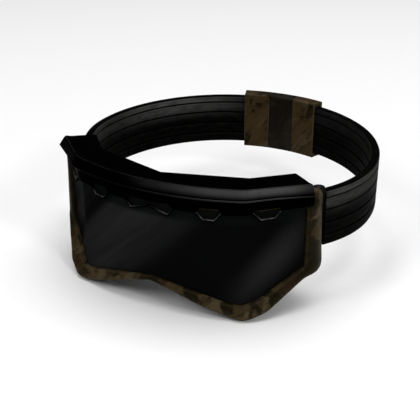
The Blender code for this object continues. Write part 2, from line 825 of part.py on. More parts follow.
def make_rear_frame(look):
    """Flange behind the lens, wall round the eyes and seat for the foam, with vents."""
    flange = bent(plate([flange_edge()], -FLANGE_BACK, -FLANGE_DEPTH))
    edge = body_edge()
    wall = prism([edge], FRONT_Y, reach_back())
    ahead = bent(block(
        (-WING_END, -OVERRUN, -FLANGE_DEPTH - FLANGE_THICKNESS / 2),
        (WING_END, FRAME_HEIGHT + OVERRUN, BODY_DEPTH),
    ))
    wall = without(wall, ahead, face_column(FRAME_BACK_RADIUS))
    shape = joined(flange, wall)
    shape = without(shape, prism([grown(edge, -BODY_WALL)], FRONT_Y, reach_back()))
    seat_loops = [grown(edge, SEAT_OUT), grown(edge, -SEAT_WIDTH + SEAT_OUT)]
    seat = shell_between(seat_loops, FRAME_BACK_RADIUS, FRAME_BACK_RADIUS + SEAT_THICKNESS)
    shape = joined(shape, seat)
    for index in range(TOP_VENTS):
        x = (index - (TOP_VENTS - 1) / 2) * VENT_PITCH
        shape = without(shape, vent_box(x, BODY_TOP - BODY_WALL, 2 * BODY_WALL))
    for index in range(LOW_VENTS):
        x = LOW_VENT_START + VENT_LENGTH / 2 + index * VENT_PITCH
        cutter = vent_box(x, low_wall(x), 2 * BODY_WALL)
        shape = without(shape, mirrored(cutter), cutter)
    for height in bracket_screw_heights():
        cutter = bracket_screw_hole(height)
        shape = without(shape, mirrored(cutter), cutter)
    finish(shape, "rear_frame", look)


def make_filters(look):
    """Open-cell strips inside the top wall and the two lower walls."""
    top = BODY_TOP - BODY_WALL - GAP
    back = filter_back()
    strip = block(
        (-TOP_FILTER_HALF, back - FILTER_DEPTH, top - FILTER_THICKNESS),
        (TOP_FILTER_HALF, back, top),
    )
    finish(strip, "top_vent_filter", look)
    slope = math.cos(math.atan2(low_wall(0) - low_wall(BODY_HALF), BODY_HALF))
    lift = (BODY_WALL + GAP) / slope
    start, end = LOW_FILTER_START, LOW_FILTER_END
    outline = [
        (start, low_wall(start) + lift), (end, low_wall(end) + lift),
        (end, low_wall(end) + lift + FILTER_THICKNESS),
        (start, low_wall(start) + lift + FILTER_THICKNESS),
    ]
    left = prism([outline], back - FILTER_DEPTH, back)
    finish(mirrored(left), "bottom_vent_filter_right", look)
    finish(left, "bottom_vent_filter_left", look)


def make_foam(foam, fleece):
    """The face cushion on its seat, and the fleece on the cushion."""
    edge = body_edge()
    loops = [grown(edge, FOAM_OUT), grown(edge, FOAM_OUT - FOAM_WIDTH)]
    near = FACE_RADIUS + LINING_THICKNESS + GAP
    cushion = shell_between(loops, near, FACE_RADIUS + FOAM_THICKNESS)
    finish(cushion, "face_foam", foam)
    lining = shell_between(loops, FACE_RADIUS, FACE_RADIUS + LINING_THICKNESS)
    finish(lining, "face_lining", fleece)


# Strap hinge

def wing_point(along, depth):
    """Plan position of a point along the wing's straight line, which runs on past its end."""
    x, y = front_point(WING_START, depth)
    return x + along * math.cos(WING_ANGLE), y + along * math.sin(WING_ANGLE)


def pin_place():
    """Plan position of the left strap pin."""
    return Vector(wing_point(PIN_ALONG, PIN_DEPTH))


def upright_rod(place, low, high, radius):
    """A rod along Z at a plan position."""
    return rod((place.x, place.y, low), (place.x, place.y, high), radius, PIN_STEPS)


def bracket_heights():
    """The bracket's lowest and highest levels: one arm clears each edge of the strap."""
    return STRAP_BOTTOM - GAP - BRACKET_ARM, STRAP_BOTTOM + STRAP_HEIGHT + GAP + BRACKET_ARM


def bracket_screw_heights():
    """The two bracket screws, one near each arm."""
    low, high = bracket_heights()
    inset = BRACKET_ARM + BRACKET_SCREW_DROP
    return low + inset, high - inset


def bracket_base_start():
    """Where the bracket's base begins along the wing, outside the rear frame's wall."""
    behind = FLANGE_BACK + GAP + BRACKET_BASE
    start_x = front_point(WING_START, behind)[0]
    return (BODY_HALF + GAP - start_x) / math.cos(WING_ANGLE)


def bracket_screw_line(height):
    """Outer and inner ends of a bracket screw's axis."""
    along = bracket_base_start() + BRACKET_BASE_LENGTH / 2
    head = Vector((*wing_point(along, FLANGE_BACK + GAP + BRACKET_BASE), height))
    tip = Vector((*wing_point(along, FLANGE_DEPTH + GAP), height))
    return head, tip


def bracket_screw_hole(height):
    """A cutter for a bracket screw's shank."""
    head, tip = bracket_screw_line(height)
    run = (head - tip).normalized()
    return rod(tip - run * OVERRUN, head + run * OVERRUN, SCREW_RADIUS + PIN_GAP)


def make_bracket(side, look, steel):
    """The U-shaped bracket of one side with its pin and screws."""
    low, high = bracket_heights()
    front, start = FLANGE_BACK + GAP, bracket_base_start()
    pin = pin_place()
    outline = [wing_point(start, front), wing_point(start + BRACKET_BASE_LENGTH, front)]
    for step in range(BRACKET_STEPS):
        angle = WING_ANGLE + BRACKET_FIRST + BRACKET_TURN * step
        reach = BRACKET_ROUND * Vector((math.cos(angle), math.sin(angle)))
        outline.append(tuple(pin + reach))
    outline += [
        wing_point(start + BRACKET_BASE_LENGTH / 2, front + 2 * BRACKET_BASE),
        wing_point(start, front + BRACKET_BASE),
    ]
    shape = plate([outline], low, high)
    cut_low, cut_high = low + BRACKET_ARM, high - BRACKET_ARM
    middle = upright_rod(pin, cut_low, cut_high, BRACKET_CUT_RADIUS)
    back = front + BRACKET_BASE
    corners = (
        (start - OVERRUN, back), (PIN_ALONG, back), (PIN_ALONG, back + PIN_DEPTH),
        (start - OVERRUN, back + PIN_DEPTH),
    )
    behind = plate([[wing_point(along, depth) for along, depth in corners]], cut_low, cut_high)
    bore = upright_rod(pin, low - GAP, high + GAP, PIN_RADIUS + PIN_GAP)
    shape = without(shape, middle, behind, bore)
    for height in bracket_screw_heights():
        shape = without(shape, bracket_screw_hole(height))
    pieces = [(shape, "strap_bracket_" + side, look)]
    pieces.append((upright_rod(pin, low, high, PIN_RADIUS), "strap_pin_" + side, steel))
    for number, height in enumerate(bracket_screw_heights(), 1):
        pieces.append((bracket_screw(height), f"bracket_screw_{side}_{number}", steel))
    for piece, name, finish_look in pieces:
        finish(piece if side == "left" else mirrored(piece), name, finish_look)


def bracket_screw(height):
    """One short screw, its head on the back of the bracket's base."""
    head, tip = bracket_screw_line(height)
    run = (head - tip).normalized()
    shank = rod(tip, head + run * (GAP + SCREW_HEAD_HEIGHT / 2), SCREW_RADIUS)
    cap = rod(head + run * GAP, head + run * (GAP + SCREW_HEAD_HEIGHT), SCREW_HEAD_RADIUS)
    return joined(shank, cap)


def front_arc():
    """Centre X, radius and angle of the strap's front arc, from the loop's side to the pin."""
    pin = pin_place()
    across, back = LOOP_MIDDLE - pin.x, LOOP_Y - pin.y
    radius = (across ** 2 + back ** 2) / (2 * across)
    return LOOP_MIDDLE - radius, radius, math.asin(back / radius)


def strap_section():
    """The strap's ribbed cross-section as radius and height, anticlockwise."""
    inner, outer = LOOP_RADIUS, LOOP_RADIUS + STRAP_THICKNESS
    top = STRAP_BOTTOM + STRAP_HEIGHT
    face = []
    for share in GROOVE_SHARES:
        middle = STRAP_BOTTOM + share * STRAP_HEIGHT
        face += [
            (0.0, middle - GROOVE_WIDTH), (GROOVE_DEPTH, middle - GROOVE_WIDTH / 2),
            (GROOVE_DEPTH, middle + GROOVE_WIDTH / 2), (0.0, middle + GROOVE_WIDTH),
        ]
    right = [(outer - STRAP_EDGE, STRAP_BOTTOM), (outer, STRAP_BOTTOM + STRAP_EDGE)]
    right += [(outer - deep, height) for deep, height in face]
    right += [(outer, top - STRAP_EDGE), (outer - STRAP_EDGE, top)]
    left = [(inner + STRAP_EDGE, top), (inner, top - STRAP_EDGE)]
    left += [(inner + deep, height) for deep, height in reversed(face)]
    left += [(inner, STRAP_BOTTOM + STRAP_EDGE), (inner + STRAP_EDGE, STRAP_BOTTOM)]
    return right + left


def swept(section, sweeps):
    """A closed solid: a section of radius and height at the loop's side, spun along arcs.

    Each sweep is a centre, an angle and a number of steps, and starts from the same section.
    """
    shape = bmesh.new()
    for centre, angle, steps in sweeps:
        verts = [shape.verts.new((radius, LOOP_Y, height)) for radius, height in section]
        ring = [shape.edges.new((verts[index - 1], verts[index])) for index in range(len(verts))]
        bmesh.ops.spin(
            shape, geom=verts + ring, cent=centre, axis=(0, 0, 1), angle=angle, steps=steps,
        )
    bmesh.ops.remove_doubles(shape, verts=shape.verts, dist=WELD)
    rims = [edge for edge in shape.edges if edge.is_boundary]
    bmesh.ops.holes_fill(shape, edges=rims, sides=0)
    bmesh.ops.recalc_face_normals(shape, faces=shape.faces)
    return shape


def arc_solid(section, first, last):
    """A section spun round the loop between two angles from straight back, towards +X."""
    loop = Vector((0, LOOP_Y, 0))
    start = math.pi / 2 - last
    shape = swept(section, [(loop, last - first, CLASP_STEPS)])
    bmesh.ops.rotate(shape, cent=loop, matrix=Matrix.Rotation(start, 3, "Z"), verts=shape.verts)
    return shape


def radial_rod(angle, height, near, far, radius):
    """A rod along the loop's radius at an angle from straight back, towards +X."""
    run = Vector((math.sin(angle), math.cos(angle), 0))
    base = Vector((0, LOOP_Y, height))
    return rod(base + run * near, base + run * far, radius)


def clasp_screw_places():
    """Angle and height of each screw on one side of the clasp."""
    return (
        (STRAP_SCREW_ANGLE, STRAP_MIDDLE + SCREW_PLACE),
        (STRAP_SCREW_ANGLE, STRAP_MIDDLE - SCREW_PLACE),
        (BLOCK_SCREW_ANGLE, STRAP_MIDDLE),
    )


def screw_holes(shape, places, sunk=False):
    """The shape with a hole for each screw, and a sunk seat for its head in the outer cover."""
    near, far = CLASP_INNER_RADIUS + SCREW_FLOOR, CLASP_OUTER_RADIUS + OVERRUN
    floor = CLASP_OUTER_RADIUS - SCREW_SINK - SCREW_HEAD_HEIGHT - PIN_GAP
    for angle, height in places:
        shape = without(shape, radial_rod(angle, height, near, far, SCREW_RADIUS + PIN_GAP))
        if sunk:
            seat = radial_rod(angle, height, floor, far, SCREW_HEAD_RADIUS + PIN_GAP)
            shape = without(shape, seat)
    return shape


def make_strap(side, carrier, rubber, plastic):
    """One half of the strap, with the knuckle moulded into its front end."""
    centre_x, radius, angle = front_arc()
    pin = pin_place()
    loop = Vector((0, LOOP_Y, 0))
    front_centre = Vector((centre_x, LOOP_Y, 0))
    short = angle - STRAP_TO_PIN / radius
    strap = swept(strap_section(), [
        (loop, math.pi / 2 - STRAP_END_ANGLE, STRAP_STEPS),
        (front_centre, -short, STRAP_FRONT_STEPS),
    ])
    run = Vector((math.sin(angle), math.cos(angle), 0))
    corner = Vector((END_PLATE / 2, STRAP_TO_PIN + END_PLATE_LENGTH, END_PLATE_HEIGHT / 2))
    middle = Vector((0, 0, STRAP_MIDDLE))
    tab = block(middle - corner * Vector((1, 0, 1)), middle + corner)
    corner += Vector((GAP, GAP, GAP))
    slot = block(middle - corner * Vector((1, 0, 1)), middle + corner)
    aim = Vector((0, 1, 0)).rotation_difference(run).to_matrix()
    for shape in (slot, tab):
        bmesh.ops.rotate(shape, cent=(0, 0, 0), matrix=aim, verts=shape.verts)
        bmesh.ops.translate(shape, verts=shape.verts, vec=(pin.x, pin.y, 0))
    strap = without(strap, slot)
    strap = screw_holes(strap, clasp_screw_places()[:2])
    low, high = STRAP_BOTTOM, STRAP_BOTTOM + STRAP_HEIGHT
    knuckle = joined(upright_rod(pin, low, high, KNUCKLE_RADIUS), tab)
    knuckle = without(knuckle, upright_rod(pin, low - GAP, high + GAP, PIN_RADIUS + PIN_GAP))
    for piece, name, look in ((strap, "strap_", rubber), (knuckle, "strap_end_", plastic)):
        finish(piece if side == "left" else mirrored(piece), name + side, look, carrier)


# Clasp

def cover_section(outside):
    """Channel section of a clasp cover, on the head's side or outside, anticlockwise."""
    low, high = STRAP_MIDDLE - CLASP_HEIGHT / 2, STRAP_MIDDLE + CLASP_HEIGHT / 2
    inside_low, inside_high = STRAP_BOTTOM - GAP, STRAP_BOTTOM + STRAP_HEIGHT + GAP
    if outside:
        rim, face = CLASP_PARTING + GAP / 2, CLASP_OUTER_RADIUS
        floor, chamfer = face - CLASP_OUTER_WALL, face - CLASP_EDGE
    else:
        rim, face = CLASP_PARTING - GAP / 2, CLASP_INNER_RADIUS
        floor, chamfer = face + CLASP_INNER_WALL, face + CLASP_EDGE
    return [
        (rim, low), (chamfer, low), (face, low + CLASP_EDGE), (face, high - CLASP_EDGE),
        (chamfer, high), (rim, high), (rim, inside_high), (floor, inside_high),
        (floor, inside_low), (rim, inside_low),
    ]


def core_section():
    """A rectangular section that fills the clasp from wall to wall."""
    near, far = SOCKET_FLOOR + GAP, CLASP_OUTER_RADIUS - CLASP_OUTER_WALL - GAP
    low, high = STRAP_BOTTOM + GAP, STRAP_BOTTOM + STRAP_HEIGHT - GAP
    return [(near, low), (far, low), (far, high), (near, high)]


def make_cover_pair(side, carrier, look, steel):
    """The two camouflage covers over one end of the strap, and their screws."""
    first, last = SOCKET_HALF_ANGLE + CLASP_SPLIT_ANGLE, CLASP_HALF_ANGLE
    places = clasp_screw_places()
    inner = screw_holes(arc_solid(cover_section(False), first, last), places)
    outer = screw_holes(arc_solid(cover_section(True), first, last), places, sunk=True)
    pieces = [(inner, "clasp_inner_" + side, look), (outer, "clasp_outer_" + side, look)]
    for number, (angle, height) in enumerate(places, 1):
        top = CLASP_OUTER_RADIUS - SCREW_SINK
        under = top - SCREW_HEAD_HEIGHT
        tip = CLASP_INNER_RADIUS + SCREW_FLOOR + PIN_GAP
        shank = radial_rod(angle, height, tip, top - SCREW_HEAD_HEIGHT / 2, SCREW_RADIUS)
        head = radial_rod(angle, height, under, top, SCREW_HEAD_RADIUS)
        pieces.append((joined(shank, head), f"clasp_screw_{side}_{number}", steel))
    for piece, name, finish_look in pieces:
        finish(piece if side == "left" else mirrored(piece), name, finish_look, carrier)


def make_socket(carrier, look, plastic):
    """The dark middle of the clasp, its button opening, and the link to the left covers."""
    half = SOCKET_HALF_ANGLE
    inner = arc_solid(cover_section(False), -half, half)
    outer = arc_solid(cover_section(True), -half, half)
    across, up = BUTTON_HALF_WIDTH + GAP, BUTTON_HALF_HEIGHT + GAP
    opening = block(
        (-across, LOOP_Y + CLASP_PARTING, STRAP_MIDDLE - up),
        (across, LOOP_Y + CLASP_OUTER_RADIUS + OVERRUN, STRAP_MIDDLE + up),
    )
    finish(inner, "clasp_socket_inner", look, carrier)
    finish(without(outer, opening), "clasp_socket_outer", look, carrier)
    link = arc_solid(core_section(), LINK_END_ANGLE, BLOCK_END_ANGLE)
    link = screw_holes(link, clasp_screw_places()[2:])
    finish(link, "clasp_link", plastic, carrier)


def make_tongue(carrier, plastic):
    """The block in the right covers, with a thin notched tongue that enters the socket."""
    body = arc_solid(core_section(), TONGUE_BLOCK_ANGLE, BLOCK_END_ANGLE)
    root = CLASP_PARTING * math.sin(TONGUE_BLOCK_ANGLE) + TONGUE_THICKNESS
    shoulder = TONGUE_HALF_HEIGHT - TONGUE_TAPER
    tip = -TONGUE_TIP
    outline = [
        (tip, -shoulder), (tip + TONGUE_TAPER, -TONGUE_HALF_HEIGHT), (root, -TONGUE_HALF_HEIGHT),
        (root, TONGUE_HALF_HEIGHT), (tip + TONGUE_TAPER, TONGUE_HALF_HEIGHT), (tip, shoulder),
    ]
    outline = [(x, STRAP_MIDDLE + height) for x, height in outline]
    back = LOOP_Y + TONGUE_INNER_RADIUS
    tongue = prism([outline], back, back + TONGUE_THICKNESS)
    for side in (1, -1):
        reach = (TONGUE_HALF_HEIGHT - NOTCH_DEPTH, TONGUE_HALF_HEIGHT + OVERRUN)
        low, high = sorted(STRAP_MIDDLE + side * part for part in reach)
        notch = block(
            (-NOTCH_HALF, back - GAP, low), (NOTCH_HALF, back + TONGUE_THICKNESS + GAP, high)
        )
        tongue = without(tongue, notch)
    shape = joined(body, tongue)
    shape = screw_holes(shape, clasp_screw_places()[2:])
    finish(mirrored(shape), "clasp_tongue", plastic, carrier)


def about_strap(half_across, low, high, start, end):
    """A block either side of the middle, between two places on Y and two above mid-strap."""
    start, end = sorted((start, end))
    return block(
        (-half_across, low, STRAP_MIDDLE + start), (half_across, high, STRAP_MIDDLE + end)
    )


def make_button(carrier, look, steel):
    """The release button, its two catch legs, and the springs under its flange."""
    face = LOOP_Y + CLASP_OUTER_RADIUS + BUTTON_PROUD
    under_cover = CLASP_OUTER_RADIUS * math.cos(SOCKET_HALF_ANGLE / CLASP_STEPS) - CLASP_OUTER_WALL
    flange_top = LOOP_Y + under_cover - 2 * GAP
    flange_low = flange_top - BUTTON_FLANGE
    leg_top = flange_low + BUTTON_FLANGE / 2
    catch_low = LOOP_Y + TONGUE_INNER_RADIUS
    catch_high = catch_low + CATCH_HEIGHT
    half, tall, wide = BUTTON_HALF_WIDTH, BUTTON_HALF_HEIGHT, BUTTON_FLANGE_HALF
    leg_end, hook, heel = LEG_START + LEG_WIDTH, LEG_START - CATCH_REACH, LEG_START + LEG_WIDTH / 2
    cap = about_strap(half, flange_low, face, -tall, tall)
    shape = joined(cap, about_strap(half, flange_low, flange_top, -wide, wide))
    for side, place in ((1, "upper"), (-1, "lower")):
        leg = about_strap(LEG_HALF_WIDTH, catch_low, leg_top, side * LEG_START, side * leg_end)
        catch = about_strap(LEG_HALF_WIDTH, catch_low, catch_high, side * hook, side * heel)
        shape = joined(shape, leg, catch)
        height = STRAP_MIDDLE + side * SPRING_PLACE
        coil = spring(LOOP_Y + SOCKET_FLOOR + GAP, flange_low - GAP, height)
        finish(coil, "button_spring_" + place, steel, carrier.parent)
    finish(shape, "release_button", look, carrier)


def spring(low, high, height):
    """A coil spring along Y between two places."""
    curve = bpy.data.curves.new("coil", "CURVE")
    curve.dimensions = "3D"
    curve.bevel_depth = SPRING_WIRE
    curve.bevel_resolution = 1
    curve.use_fill_caps = True
    count = SPRING_TURNS * SPRING_TURN_POINTS
    spline = curve.splines.new("POLY")
    spline.points.add(count)
    rise = high - low - 2 * SPRING_WIRE
    for index in range(count + 1):
        angle = 2 * math.pi * index / SPRING_TURN_POINTS
        spline.points[index].co = (
            SPRING_RADIUS * math.cos(angle), low + SPRING_WIRE + rise * index / count,
            height + SPRING_RADIUS * math.sin(angle), 1.0,
        )
    shape = taken(bpy.data.objects.new("coil", curve))
    bpy.data.curves.remove(curve)
    return shape


def main():
    """Builds the goggles."""
    empty_scene()
    bpy.context.scene.collection.children.link(bpy.data.collections.new(PARTS))
    camouflage = material("camouflage_plastic", (0.33, 0.26, 0.15), 0.45)
    dark = material("dark_plastic", (0.06, 0.055, 0.045), 0.5)
    gloss = material("gloss_black", (0.012, 0.012, 0.013), 0.2)
    frame_black = material("frame_black", (0.03, 0.03, 0.03), 0.55)
    smoke = material("smoke_lens", (0.03, 0.03, 0.034), 0.1)
    clear = material("clear_lens", (0.5, 0.52, 0.54), 0.1)
    rubber = material("strap_rubber", (0.025, 0.025, 0.026), 0.6)
    foam = material("foam", (0.04, 0.04, 0.04), 0.95)
    fleece = material("fleece", (0.07, 0.07, 0.07), 1.0)
    steel = material("steel", (0.55, 0.55, 0.55), 0.35, 1.0)
    pin = pin_place()
    hinges = {
        "left": axis_empty("hinge_left", Vector((pin.x, pin.y, STRAP_MIDDLE))),
        "right": axis_empty("hinge_right", Vector((-pin.x, pin.y, STRAP_MIDDLE))),
    }
    press = axis_empty(
        "button_axis", Vector((0, LOOP_Y + CLASP_OUTER_RADIUS, STRAP_MIDDLE)), hinges["left"]
    )
    make_bezel(camouflage)
    make_lenses(smoke, clear, foam)
    make_brow(gloss)
    make_rear_frame(frame_black)
    make_filters(foam)
    make_foam(foam, fleece)
    for side, hinge in hinges.items():
        make_bracket(side, frame_black, steel)
        make_strap(side, hinge, rubber, frame_black)
        make_cover_pair(side, hinge, camouflage, steel)
    make_socket(hinges["left"], dark, frame_black)
    make_tongue(hinges["right"], frame_black)
    make_button(press, dark, steel)


main()
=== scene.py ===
# %% [markdown]
# # Goggles with a brow guard and a ribbed strap
# The solids of the goggles come packed from the CAD side and are loaded here as a fixed frame.
# This lesson dresses them: it rebuilds the pieces that are seen with smooth rounded surfaces,
# keeps the hidden ones as eased copies, and gives every piece a finish made of shader nodes.

# %% Load the frame
import math

import bmesh
import bpy
from mathutils import Matrix, Vector, noise


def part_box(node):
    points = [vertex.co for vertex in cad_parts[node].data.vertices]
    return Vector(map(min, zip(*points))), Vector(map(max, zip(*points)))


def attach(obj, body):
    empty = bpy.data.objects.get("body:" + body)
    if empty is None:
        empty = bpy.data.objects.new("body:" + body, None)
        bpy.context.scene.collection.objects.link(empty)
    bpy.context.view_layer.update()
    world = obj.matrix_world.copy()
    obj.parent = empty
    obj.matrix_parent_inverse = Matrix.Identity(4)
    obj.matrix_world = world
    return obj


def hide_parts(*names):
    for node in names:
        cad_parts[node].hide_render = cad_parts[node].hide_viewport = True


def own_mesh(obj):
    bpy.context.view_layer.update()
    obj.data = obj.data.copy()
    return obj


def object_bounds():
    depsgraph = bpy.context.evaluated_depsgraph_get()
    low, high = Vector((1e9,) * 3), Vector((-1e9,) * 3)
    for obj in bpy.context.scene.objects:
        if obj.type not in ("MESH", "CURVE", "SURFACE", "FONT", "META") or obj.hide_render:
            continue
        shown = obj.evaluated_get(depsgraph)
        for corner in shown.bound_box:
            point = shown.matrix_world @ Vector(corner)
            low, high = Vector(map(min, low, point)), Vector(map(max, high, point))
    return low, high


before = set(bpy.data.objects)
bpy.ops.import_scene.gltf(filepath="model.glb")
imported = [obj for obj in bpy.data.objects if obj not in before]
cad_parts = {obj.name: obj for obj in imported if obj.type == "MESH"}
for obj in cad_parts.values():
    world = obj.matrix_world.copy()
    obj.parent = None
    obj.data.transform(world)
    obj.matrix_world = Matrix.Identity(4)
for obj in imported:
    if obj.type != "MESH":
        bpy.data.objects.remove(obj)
cad_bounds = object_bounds()

# %% [markdown]
# ## Sizes
# The front of the goggles is drawn flat and then bent round a plan curve: a shallow arc, a
# tight corner, a straight wing and a short side wall. The same few numbers place the rim, the
# lens and the brow guard, so they are kept together here, in metres.

# %% Sizes shared by the front pieces
FRONT_RADIUS, FRONT_HALF, CORNER_RADIUS = 0.15, 0.054, 0.015
WING_ANGLE, WING_LENGTH = math.radians(45.2), 0.0404
SIDE_RADIUS, SIDE_LENGTH = 0.008, 0.006
LOOP_Y, FRONT_REACH = 0.0033, 0.11
FRONT_Y = LOOP_Y - FRONT_REACH
FACE_RADIUS, FRAME_DEPTH, CUSHION_DEPTH = 0.116, 0.026, 0.0123
FACE_Y = FRONT_Y + FRAME_DEPTH + FACE_RADIUS + CUSHION_DEPTH
TALL = cad_bounds[1].z
FRONT_ANGLE = math.asin(FRONT_HALF / FRONT_RADIUS)
CORNER_START = FRONT_RADIUS * FRONT_ANGLE
WING_START = CORNER_START + CORNER_RADIUS * (WING_ANGLE - FRONT_ANGLE)
WING_END = WING_START + WING_LENGTH
SIDE_START = WING_END + SIDE_RADIUS * (math.pi / 2 - WING_ANGLE)
FRONT_END = SIDE_START + SIDE_LENGTH
MERGE = 0.000002
print(f"the front runs {FRONT_END * 1000:.1f} mm from the middle to the end of a side")

# %% [markdown]
# ## The plan curve
# A point of a flat piece has a distance along the face, a height, and a distance out of it.
# This function gives where that lands when the face is bent. A Curve modifier could do the
# same, but a formula keeps every piece exactly on the CAD's own surface.

# %% Bending
def front_point(along, depth):
    """Plan position a distance along the front surface and a depth behind it."""
    runs = (
        (CORNER_START, FRONT_RADIUS), (WING_START - CORNER_START, CORNER_RADIUS),
        (WING_LENGTH, None), (SIDE_START - WING_END, SIDE_RADIUS), (SIDE_LENGTH, None),
    )
    left, heading, x, y = abs(along), 0.0, 0.0, FRONT_Y
    for length, radius in runs:
        step = min(left, length)
        if radius:
            ahead = heading + step / radius
            x += radius * (math.sin(ahead) - math.sin(heading))
            y += radius * (math.cos(heading) - math.cos(ahead))
            heading = ahead
        else:
            x += step * math.cos(heading)
            y += step * math.sin(heading)
        left -= step
    x += left * math.cos(heading) - depth * math.sin(heading)
    y += left * math.sin(heading) + depth * math.cos(heading)
    return math.copysign(x, along), y


def onto_face(along, height, out):
    """A point of the flat drawing, placed on the bent face."""
    x, y = front_point(along, -out)
    return Vector((x, y, height))


def part_way(value, start, end):
    """How far a value lies from start to end, from 0 to 1."""
    return min(1.0, max(0.0, (value - start) / (end - start)))


def mirrored(rows):
    """The other side of the middle, in the opposite order. A row holds one or more points."""
    return [
        tuple(value if number % 2 else -value for number, value in enumerate(row))
        for row in reversed(rows)
    ]


def whole(half):
    """A closed outline from its right half, which starts and ends in the middle."""
    return [*half, *mirrored(half[1:-1])]


def read_off(table, place):
    """A value between the rows of a table of places and values."""
    for (first, low), (second, high) in zip(table, table[1:]):
        if place <= second:
            return low + (place - first) / (second - first) * (high - low)
    return table[-1][1]


print("end of the side:", tuple(round(v, 4) for v in front_point(FRONT_END, 0.0)))

# %% [markdown]
# ## Camera and light
# The photograph looks down from the wearer's left. The camera stands where mirrored pairs of
# points in the photograph put it.

# %% Camera
AZIMUTH, ELEVATION = math.radians(26.7), math.radians(26.2)
CAMERA_PLACE = (0.2374, -0.4967, 0.2911)
FOCAL_PIXELS, PHOTO_PIXELS, SENSOR = 853, 420, 36.0


def placed(name, data):
    """A new object in the scene."""
    made = bpy.data.objects.new(name, data)
    bpy.context.scene.collection.objects.link(made)
    return made


def aimed(made, place, direction):
    """Stands a camera or a lamp at a place, so that it looks along a direction."""
    made.location = place
    made.rotation_mode = "QUATERNION"
    made.rotation_quaternion = direction.to_track_quat("-Z", "Y")


view = Vector((
    math.sin(AZIMUTH) * math.cos(ELEVATION), -math.cos(AZIMUTH) * math.cos(ELEVATION),
    math.sin(ELEVATION),
))
camera = placed("camera", bpy.data.cameras.new("camera"))
aimed(camera, CAMERA_PLACE, -view)
camera.data.sensor_width = SENSOR
camera.data.lens = FOCAL_PIXELS / PHOTO_PIXELS * SENSOR
bpy.context.scene.camera = camera
bpy.context.scene.view_settings.view_transform = "Standard"

# %% [markdown]
# A wide lamp high overhead lights the floor evenly. One on the right shapes the front, and
# others on the left and behind fill the shadows.

# %% Lamps
LAMPS = (
    ("overhead", (0.0, 0.2, 2.4), 2.4, 54.0),
    ("front_left", (-0.5, -1.1, 1.1), 0.6, 6.0),
    ("front_right", (0.78, -0.44, 0.62), 0.16, 2.4),
    ("behind", (0.9, 0.7, 0.5), 0.6, 1.5),
)
AIM = Vector((0.0, 0.0, 0.045))
for name, place, size, power in LAMPS:
    lamp = placed(name, bpy.data.lights.new(name, "AREA"))
    lamp.data.shape, lamp.data.size, lamp.data.energy = "SQUARE", size, power
    aimed(lamp, place, AIM - Vector(place))
print("lamps:", len(LAMPS))

# %% [markdown]
# ## Writing shader maths as Python
# A node tree soon becomes a tangle when it is wired by hand. Value wraps a number socket, so
# that 1 - mask * 0.4 adds its own Math nodes. Paint owns one material and adds any other node
# from its type, its settings and its inputs.

# %% Shader helpers
FINISH = " finish"


class Value:
    """A number socket of a material that can be used in Python expressions."""

    def __init__(self, paint, socket):
        self.paint, self.socket = paint, socket

    def math(self, operation, *others):
        return self.paint.math(operation, self, *others)

    def __add__(self, other):
        return self.math("ADD", other)

    def __mul__(self, other):
        return self.math("MULTIPLY", other)

    def __sub__(self, other):
        return self.math("SUBTRACT", other)

    def __rsub__(self, other):
        return self.paint.math("SUBTRACT", other, self)

    __radd__, __rmul__ = __add__, __mul__

    def clamped(self):
        return self.math("MINIMUM", 1.0).math("MAXIMUM", 0.0)

    def band(self, low, high):
        """0 below low, 1 above high, and a smooth step between."""
        return self.paint.node(
            "ShaderNodeMapRange", {"interpolation_type": "SMOOTHSTEP"},
            {"Value": self, "From Min": low, "From Max": high},
        )


